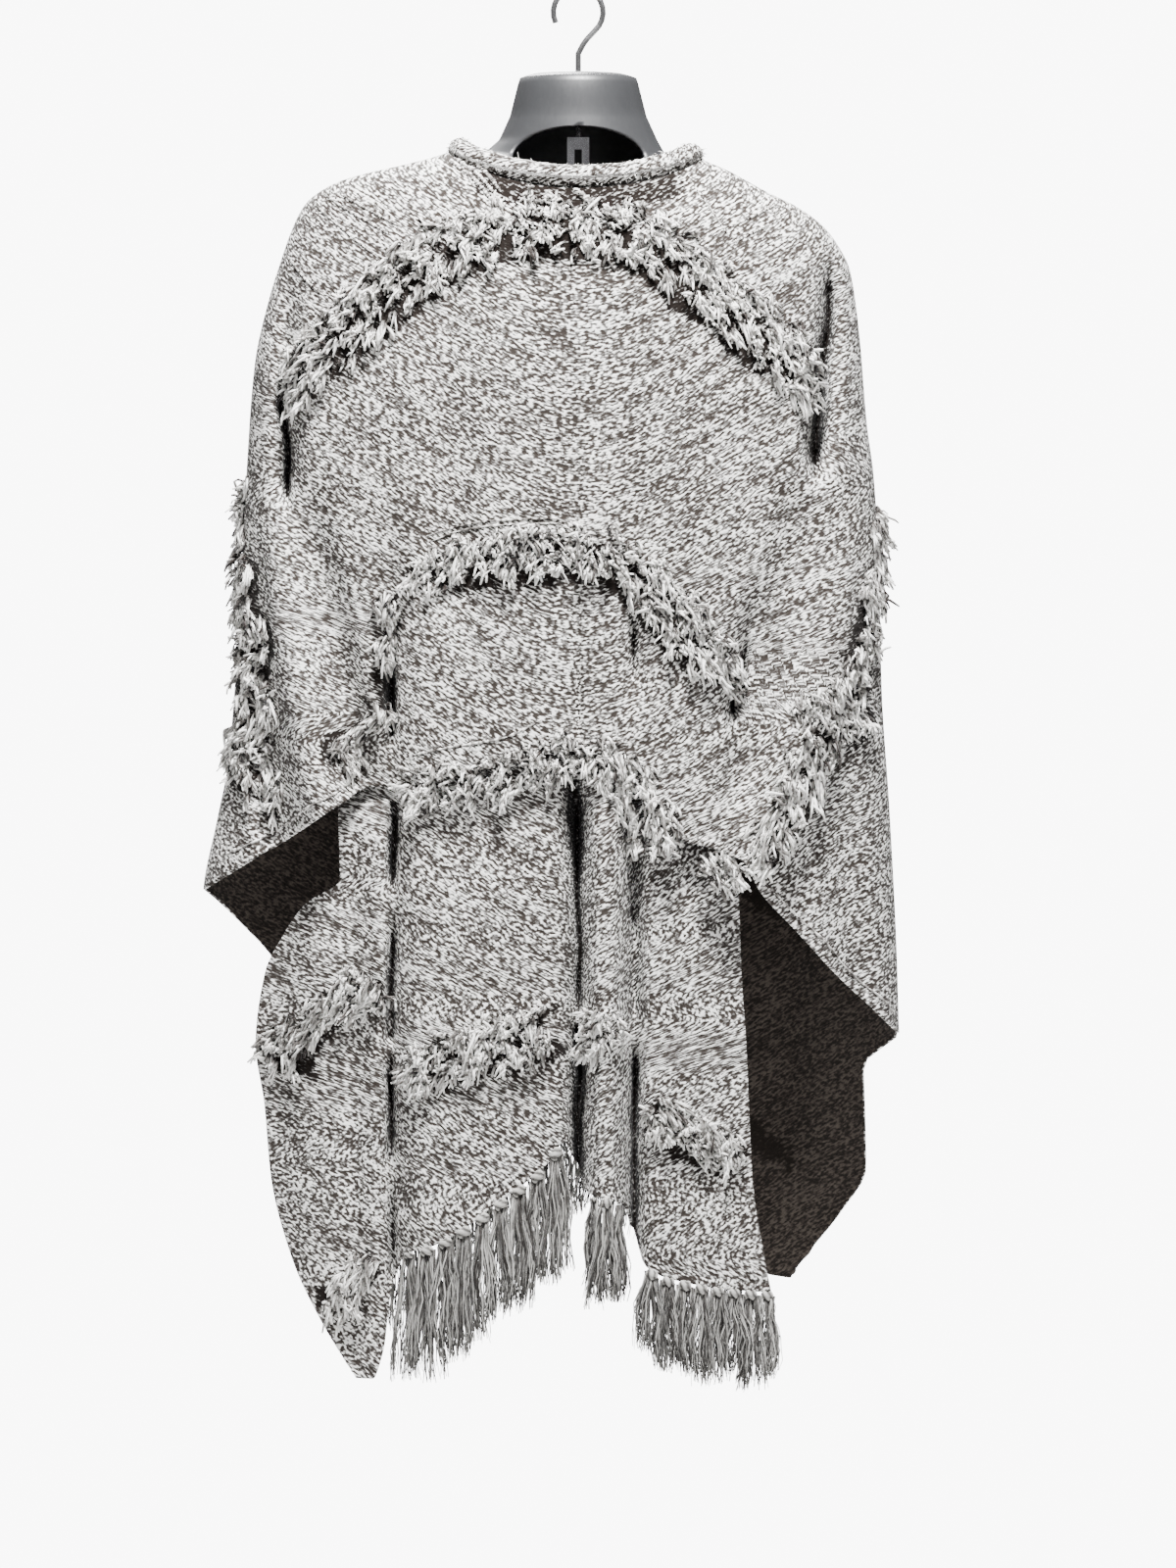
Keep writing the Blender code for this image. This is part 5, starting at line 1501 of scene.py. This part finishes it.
def wear_group() -> bpy.types.NodeTree:
    """Handling marks: broad cloudy patches and fine scratches.

    Returns:
        The group: Vector, Broad and Fine in; Cloud and Scratch out.
    """
    name = "handling marks"
    if name in bpy.data.node_groups:
        return bpy.data.node_groups[name]
    tree, graph, start, end = new_group(
        name,
        (("Vector", "Vector", 0.0), ("Broad", "Float", 14.0), ("Fine", "Float", 900.0)),
        (("Cloud", "Float"), ("Scratch", "Float")),
    )
    cloud = graph.add("TexNoise", Detail=4.0, Roughness=0.6)
    graph.put(cloud, "Vector", start.outputs["Vector"])
    graph.put(cloud, "Scale", start.outputs["Broad"])
    fine = graph.add("TexNoise", Detail=3.0, Roughness=0.7)
    graph.put(fine, "Vector", graph.scaled(start.outputs["Vector"], (1.0, 1.0, 0.25)))
    graph.put(fine, "Scale", start.outputs["Fine"])
    tree.links.new(cloud.outputs[0], end.inputs["Cloud"])
    tree.links.new(fine.outputs[0], end.inputs["Scratch"])
    return tree


@dataclass(frozen=True)
class Finish:
    """A material with a Principled shader, made once and shared by the pieces that name it."""

    name: str = "finish"
    roughness: float = 0.9
    metallic: float = 0.0
    sheen: float = 0.0
    specular: float = 0.5

    def material(self) -> bpy.types.Material:
        """Makes the material, or returns the one made before."""
        if self.name in bpy.data.materials:
            return bpy.data.materials[self.name]
        made = bpy.data.materials.new(self.name)
        made.use_nodes = True
        shader = made.node_tree.nodes["Principled BSDF"]
        shader.inputs["Roughness"].default_value = self.roughness
        shader.inputs["Metallic"].default_value = self.metallic
        shader.inputs["Sheen Weight"].default_value = self.sheen
        shader.inputs["Specular IOR Level"].default_value = self.specular
        self.fill(Graph(made.node_tree), shader)
        return made

    def fill(self, graph: Graph, shader: bpy.types.Node) -> None:
        """Adds the finish's own nodes."""
        raise NotImplementedError

    def group(self, graph: Graph, tree: bpy.types.NodeTree, vector: bpy.types.NodeSocket, **values: float) -> bpy.types.Node:
        """Places a node group with its own values."""
        node = graph.tree.nodes.new("ShaderNodeGroup")
        node.node_tree = tree
        graph.put(node, "Vector", vector)
        for name, value in values.items():
            graph.put(node, name, value)
        return node

    def bump(self, graph: Graph, shader: bpy.types.Node, height: bpy.types.NodeSocket, strength: float, distance: float) -> None:
        """Feeds a height through a Bump node into the shader's normal."""
        node = graph.add("Bump", Strength=strength, Distance=distance)
        graph.put(node, "Height", height)
        graph.put(shader, "Normal", node.outputs[0])


@dataclass(frozen=True)
class MarledWeave(Finish):
    """The cloth's face: pale, grey and dark dashes in fine rows, along the cloth's own map."""

    roughness: float = 0.92
    sheen: float = 0.04
    specular: float = 0.10
    pale: tuple[float, float, float] = (0.84, 0.83, 0.805)
    middle: tuple[float, float, float] = (0.120, 0.116, 0.112)
    dark: tuple[float, float, float] = (0.022, 0.019, 0.017)
    # The gap is the near-black colour of painted shade, shown where the tone attribute is low.
    gap: tuple[float, float, float] = (0.006, 0.004, 0.003)
    lean: float = 0.66
    fine: float = 1.0
    relief: float = 0.0024

    def fill(self, graph: Graph, shader: bpy.types.Node) -> None:
        """Colours the weave by its marks, fades it to the gap colour where the tone paints shade, and
        raises it.
        """
        cloth = graph.add("UVMap", uv_map="cloth").outputs[0]
        weave = self.group(graph, marl_group(), cloth, Lean=self.lean, Fine=self.fine)
        colour = graph.ramp(weave.outputs["Mark"], (
            (0.450, self.dark), (0.490, self.middle), (0.515, self.middle), (0.560, self.pale)))
        # The tone attribute is painted shade; the mark makes the edge of that shade ragged.
        tone = graph.add("Attribute", attribute_name="tone", attribute_type="GEOMETRY")
        rough = graph.math("MULTIPLY", graph.math("SUBTRACT", weave.outputs["Mark"], 0.5), 2.2)
        shown = graph.add("MapRange", interpolation_type="SMOOTHSTEP")
        for index, value in enumerate((graph.math("ADD", tone.outputs["Fac"], rough), 0.12, 0.80)):
            graph.put_at(shown, index, value)
        toned = graph.add("VectorMath", operation="MULTIPLY_ADD")
        for index, value in enumerate((colour, shown.outputs[0], self.gap)):
            graph.put_at(toned, index, value)
        graph.put(shader, "Base Color", toned.outputs[0])
        self.bump(graph, shader, weave.outputs["Relief"], 0.8, self.relief)


@dataclass(frozen=True)
class Yarn(Finish):
    """Loose yarn: each strand has its own shade, with painted shade added by its tone, and slubs along it.
    """

    roughness: float = 0.95
    sheen: float = 0.15
    specular: float = 0.12
    pale: tuple[float, float, float] = (0.88, 0.865, 0.835)
    middle: tuple[float, float, float] = (0.24, 0.228, 0.215)
    dark: tuple[float, float, float] = (0.020, 0.015, 0.013)

    def fill(self, graph: Graph, shader: bpy.types.Node) -> None:
        """Colours each strand by its tone, speckled along its length."""
        place = graph.add("TexCoord").outputs["Object"]
        marks = self.group(graph, wear_group(), place, Broad=420.0, Fine=1600.0)
        # The tone holds each strand's random shade and painted shade: dark at loop feet, under knots and
        # in knot grooves.
        tone = graph.add("Attribute", attribute_name="tone", attribute_type="GEOMETRY")
        mixed = graph.math("ADD", tone.outputs["Fac"], graph.math(
            "MULTIPLY", graph.math("SUBTRACT", marks.outputs["Cloud"], 0.5), 0.55))
        colour = graph.ramp(mixed, ((0.10, self.dark), (0.45, self.middle), (0.80, self.pale)))
        graph.put(shader, "Base Color", colour)
        self.bump(graph, shader, marks.outputs["Scratch"], 0.5, 0.0005)


@dataclass(frozen=True)
class SatinPlastic(Finish):
    """The form's grey moulded plastic, with faint clouding and scratches."""

    roughness: float = 0.42
    pale: tuple[float, float, float] = (0.031, 0.0315, 0.033)
    dark: tuple[float, float, float] = (0.022, 0.0225, 0.024)

    def fill(self, graph: Graph, shader: bpy.types.Node) -> None:
        """Varies the grey and the gloss a little."""
        place = graph.add("TexCoord").outputs["Object"]
        marks = self.group(graph, wear_group(), place, Broad=11.0, Fine=420.0)
        graph.put(shader, "Base Color", graph.ramp(
            marks.outputs["Cloud"], ((0.30, self.dark), (0.70, self.pale))))
        gloss = graph.math("MULTIPLY", marks.outputs["Scratch"], 0.18)
        graph.put(shader, "Roughness", graph.math("ADD", gloss, 0.33))
        self.bump(graph, shader, marks.outputs["Scratch"], 0.15, 0.0003)


@dataclass(frozen=True)
class PlatedSteel(Finish):
    """The hook's plated wire, with drawn lines and a little dulling."""

    roughness: float = 0.25
    metallic: float = 1.0
    pale: tuple[float, float, float] = (0.80, 0.80, 0.81)
    dark: tuple[float, float, float] = (0.60, 0.60, 0.61)

    def fill(self, graph: Graph, shader: bpy.types.Node) -> None:
        """Varies the shine along the wire."""
        place = graph.add("TexCoord").outputs["Object"]
        marks = self.group(graph, wear_group(), place, Broad=60.0, Fine=2400.0)
        graph.put(shader, "Base Color", graph.ramp(
            marks.outputs["Cloud"], ((0.35, self.dark), (0.65, self.pale))))
        gloss = graph.math("MULTIPLY", marks.outputs["Scratch"], 0.22)
        graph.put(shader, "Roughness", graph.math("ADD", gloss, 0.14))
        self.bump(graph, shader, marks.outputs["Scratch"], 0.1, 0.0002)


@dataclass(frozen=True)
class PalePaper(Finish):
    """The studio floor."""

    roughness: float = 0.9
    colour: tuple[float, float, float] = (0.86, 0.86, 0.855)

    def fill(self, graph: Graph, shader: bpy.types.Node) -> None:
        """Gives the floor a very slight clouding."""
        place = graph.add("TexCoord").outputs["Object"]
        marks = self.group(graph, wear_group(), place, Broad=1.2, Fine=60.0)
        low = tuple(0.985 * c for c in self.colour)
        graph.put(shader, "Base Color", graph.ramp(
            marks.outputs["Cloud"], ((0.3, low), (0.7, self.colour))))


# Studio


@dataclass
class Studio:
    """Camera level with the garment's back, a pale floor under it, and soft light from above."""

    frame_height: float = 1.280
    centre: tuple[float, float] = (0.008, -0.648)
    distance: float = 8.0
    sensor: float = 36.0
    backdrop: float = 9.0
    ambient: float = 0.15
    floor_z: float = -1.75
    floor_reach: float = 3.2

    def camera(self) -> None:
        """Sets the camera: a long lens that takes in the photograph's frame at the garment."""
        data = bpy.data.cameras.new("studio_camera")
        data.sensor_fit = "VERTICAL"
        data.sensor_height = self.sensor
        data.lens = self.sensor * self.distance / self.frame_height
        obj = bpy.data.objects.new("studio_camera", data)
        obj.location = (self.centre[0], -self.distance, self.centre[1])
        obj.rotation_euler = (math.radians(90), 0, 0)
        bpy.context.scene.collection.objects.link(obj)
        bpy.context.scene.camera = obj

    def floor(self, finish: Finish) -> None:
        """Makes the floor: a disc on a grid of turns and radii."""
        turns, rings = 64, 12
        turn = np.linspace(0, 2 * math.pi, turns, endpoint=False)[:, None]
        radius = np.linspace(0.001, self.floor_reach, rings)[None, :]
        points = np.stack(
            [np.cos(turn) * radius, np.sin(turn) * radius, np.full((turns, rings), self.floor_z)],
            axis=-1)
        obj = new_piece("floor", points, grid_faces(turns, rings, closed=True).tolist())
        obj.data.materials.append(finish.material())
        obj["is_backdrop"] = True

    def light(self, name: str, place: Sequence[float], size: float, power: float) -> None:
        """Adds a square soft light that faces the garment's middle.

        Args:
            name: The light's name.
            place: Where it stands.
            size: Length of its side.
            power: Watts.
        """
        data = bpy.data.lights.new(name, "AREA")
        data.size = size
        data.energy = power
        obj = bpy.data.objects.new(name, data)
        obj.location = place
        way = np.array([0.0, 0.0, -0.6]) - np.array(place)
        flat = math.hypot(way[0], way[1])
        obj.rotation_euler = (math.atan2(flat, -way[2]), 0, math.atan2(-way[0], way[1]))
        bpy.context.scene.collection.objects.link(obj)

    def build(self, finish: Finish) -> None:
        """Sets up the floor, the lights, the world and the camera."""
        self.floor(finish)
        self.light("overhead", (0.10, -1.00, 1.50), 0.50, 350.0)
        self.light("fill", (0.6, -3.0, 0.1), 1.8, 10.0)
        self.light("behind", (-0.4, 1.5, 1.5), 0.8, 170.0)
        world = bpy.data.worlds.new("studio")
        world.use_nodes = True
        graph = Graph(world.node_tree)
        shade = world.node_tree.nodes["Background"]
        shade.inputs["Color"].default_value = (1.0, 1.0, 1.0, 1.0)
        seen = graph.add("LightPath").outputs["Is Camera Ray"]
        graph.put(shade, "Strength", graph.math(
            "ADD", graph.math("MULTIPLY", seen, self.backdrop), self.ambient))
        bpy.context.scene.world = world
        self.camera()


# The garment put together


UPPER_BANDS = (
    ShagBand("band_1", (
        (-0.233, -0.322), (-0.208, -0.284), (-0.168, -0.246), (-0.120, -0.210), (-0.080, -0.190),
        (-0.036, -0.183), (0.010, -0.183), (0.046, -0.189), (0.088, -0.220), (0.136, -0.256),
        (0.172, -0.292), (0.190, -0.318)), 3600, half_height=0.022),
    ShagBand("band_1_left_drape", (
        (-0.271, -0.400), (-0.273, -0.460), (-0.274, -0.510), (-0.271, -0.560),
        (-0.266, -0.600), (-0.257, -0.640), (-0.246, -0.664)), 1900, drop=0.004),
    ShagBand("band_1_right_drape", (
        (0.2425, -0.418), (0.2435, -0.460), (0.238, -0.504), (0.226, -0.544), (0.210, -0.576),
        (0.196, -0.606), (0.182, -0.640), (0.170, -0.668), (0.158, -0.700), (0.152, -0.710)),
        2100, half_height=0.016, drop=0.004),
    ShagBand("band_2", (
        (-0.134, -0.466), (-0.098, -0.456), (-0.056, -0.450), (-0.024, -0.446), (0.008, -0.446),
        (0.040, -0.460), (0.072, -0.490), (0.104, -0.528), (0.128, -0.556)), 2100,
        half_height=0.017),
    ShagBand("band_2_left_fold", (
        (-0.148, -0.492), (-0.154, -0.512), (-0.158, -0.540), (-0.162, -0.575), (-0.166, -0.600),
        (-0.178, -0.626)), 800, half_height=0.010, drop=0.006, bare=(0.42, 0.66)),
    ShagBand("band_3", (
        (-0.140, -0.646), (-0.104, -0.636), (-0.068, -0.630), (-0.032, -0.618), (0.000, -0.612),
        (0.024, -0.616), (0.042, -0.632), (0.056, -0.658), (0.074, -0.684)), 1800,
        half_height=0.016),
    ShagBand("band_3_tail", (
        (0.098, -0.705), (0.114, -0.712), (0.130, -0.722)), 260, half_height=0.009, drop=0.004),
)
LOWER_BANDS = (
    ShagBand("band_4_left", (
        (-0.250, -0.866), (-0.228, -0.842), (-0.196, -0.814), (-0.172, -0.796)), 800,
        half_height=0.016),
    ShagBand("band_4_middle", (
        (-0.136, -0.872), (-0.110, -0.856), (-0.070, -0.842), (-0.040, -0.830),
        (-0.020, -0.820)), 1150, half_height=0.016),
    ShagBand("band_4_column", (
        (0.012, -0.838), (0.022, -0.838), (0.034, -0.839)), 330, half_height=0.015),
    ShagBand("band_4_right", (
        (0.062, -0.896), (0.088, -0.914), (0.110, -0.925), (0.130, -0.932)), 800,
        half_height=0.014),
    ShagBand("corner_roll", (
        (-0.172, -1.016), (-0.180, -1.040), (-0.190, -1.062)), 420, half_height=0.012),
)
FRONT_BANDS = (
    ShagBand("front_band_1", (
        (-0.226, -0.330), (-0.196, -0.290), (-0.150, -0.252), (-0.100, -0.232),
        (-0.050, -0.224), (0.000, -0.222), (0.050, -0.226), (0.100, -0.242), (0.140, -0.264),
        (0.172, -0.296), (0.190, -0.324)), 1850, radius=0.0015),
    ShagBand("front_band_2", (
        (-0.200, -0.560), (-0.150, -0.500), (-0.104, -0.470), (-0.050, -0.456),
        (0.010, -0.452), (0.070, -0.468), (0.112, -0.492), (0.150, -0.540),
        (0.176, -0.580)), 1250, half_height=0.017, radius=0.0015),
    ShagBand("front_band_3", (
        (-0.210, -0.740), (-0.150, -0.672), (-0.090, -0.634), (-0.030, -0.618),
        (0.030, -0.622), (0.090, -0.646), (0.140, -0.690), (0.186, -0.760)), 1250,
        half_height=0.017, radius=0.0015),
    ShagBand("front_band_4", (
        (-0.196, -0.940), (-0.150, -0.890), (-0.090, -0.850), (-0.030, -0.832),
        (0.030, -0.838), (0.090, -0.868), (0.140, -0.912), (0.180, -0.950)), 1250,
        half_height=0.017, radius=0.0015),
)
UPPER_RIDGES = (
    WovenRidges("ridges_upper", (
        ((-0.206, -0.168), (-0.152, -0.204)),
        ((-0.194, -0.168), (-0.143, -0.198)),
        ((-0.214, -0.175), (-0.162, -0.222)),
        ((-0.233, -0.223), (-0.207, -0.252)),
        ((0.122, -0.198), (0.160, -0.178)),
        ((0.122, -0.212), (0.156, -0.194)),
        ((0.090, -0.158), (0.122, -0.206)),
        ((-0.122, -0.448), (-0.096, -0.440), (-0.070, -0.436), (-0.019, -0.434), (0.000, -0.444)),
        ((-0.118, -0.452), (-0.096, -0.444), (-0.070, -0.440), (-0.019, -0.438), (0.004, -0.449)),
        ((-0.134, -0.625), (-0.100, -0.618), (-0.060, -0.611), (-0.030, -0.597)),
        ((-0.286, -0.706), (-0.232, -0.678), (-0.190, -0.652)),
        ((0.146, -0.722), (0.172, -0.750), (0.216, -0.796), (0.257, -0.836)),
    )),
    WovenRidges("neck_seam", (
        ((-0.096, -0.138), (-0.078, -0.150), (-0.062, -0.170)),
        ((-0.100, -0.140), (-0.082, -0.154), (-0.066, -0.173)),
        ((-0.104, -0.143), (-0.086, -0.157), (-0.070, -0.176)),
    ), radius=0.0019),
)
BACK_FRINGES = (
    KnotFringe("fringe_left", -0.140, -0.014, 9, 0.098),
    KnotFringe("fringe_column", 0.010, 0.036, 3, 0.080),
    KnotFringe("fringe_right", 0.056, 0.156, 8, 0.072),
)
FRONT_FRINGE = KnotFringe("front_fringe", -0.160, 0.140, 14, 0.066, strands=40)


def count_triangles(objects: Sequence[bpy.types.Object]) -> int:
    """Triangles of the pieces as shown."""
    graph = bpy.context.evaluated_depsgraph_get()
    total = 0
    for obj in objects:
        mesh = obj.evaluated_get(graph).to_mesh()
        mesh.calc_loop_triangles()
        LOG.info("%s: %d triangles", obj.name, len(mesh.loop_triangles))
        total += len(mesh.loop_triangles)
    return total


def main() -> None:
    """Builds each sub-assembly in order, and dresses it."""
    logging.basicConfig(level=logging.INFO, format="%(message)s")
    weave = MarledWeave("marled weave")
    # The inner face is the weave made far darker: painted shade.
    inner = MarledWeave(
        "weave, inner face in painted shade", pale=(0.065, 0.055, 0.047), middle=(0.026, 0.021, 0.019),
        dark=(0.004, 0.004, 0.004), gap=(0.014, 0.011, 0.009), relief=0.0009)
    shag, tassel = Yarn("shag yarn"), Yarn(
        "tassel yarn", pale=(0.40, 0.39, 0.37), middle=(0.092, 0.088, 0.083),
        dark=(0.018, 0.015, 0.013))
    plastic, metal = SatinPlastic("satin grey plastic"), PlatedSteel("plated steel")
    dull = PlatedSteel("dulled steel", pale=(0.20, 0.20, 0.21), dark=(0.13, 0.13, 0.135))

    Studio().build(PalePaper("pale paper", colour=(0.86, 0.86, 0.855)))

    sheets = {"upper": UpperBack(), "lower": LowerBack(), "front": FrontCloth()}
    maps = {key: ArcMap(sheet) for key, sheet in sheets.items()}
    bands = {"upper": UPPER_BANDS, "lower": LOWER_BANDS, "front": FRONT_BANDS}
    shells = {key: sheet.build(maps[key], bands[key]) for key, sheet in sheets.items()}
    for key, sheet in sheets.items():
        sheet.dress(shells[key], weave, inner)

    on_sheet: dict[str, list[bpy.types.Object]] = {key: [] for key in sheets}
    for key, sewn in bands.items():
        for band in sewn:
            made = band.build(maps[key])
            band.dress(made, shag)
            on_sheet[key].append(made)
    for ridges in UPPER_RIDGES:
        made = ridges.build(maps["upper"])
        ridges.dress(made, shag)
        on_sheet["upper"].append(made)
    for key, fringes in (("lower", BACK_FRINGES), ("front", (FRONT_FRINGE,))):
        for fringe in fringes:
            tied = fringe.build(sheets[key])
            fringe.dress(tied, tassel)
            on_sheet[key] += tied

    band = NeckRoll()
    rolled = band.build(sheets["upper"].grid(), sheets["front"].grid())
    band.dress(rolled, weave, shag)
    on_sheet["upper"] += rolled

    form = TorsoForm()
    form.dress(form.build(), plastic)
    for node, finish in (("hook", metal), ("hook_clip", dull)):
        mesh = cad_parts[node].data
        mesh.materials.clear()
        mesh.materials.append(finish.material())

    LOG.info("triangles in all: %d", count_triangles(
        [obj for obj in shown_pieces() if obj.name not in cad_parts]))


if __name__ == "__main__":
    main()
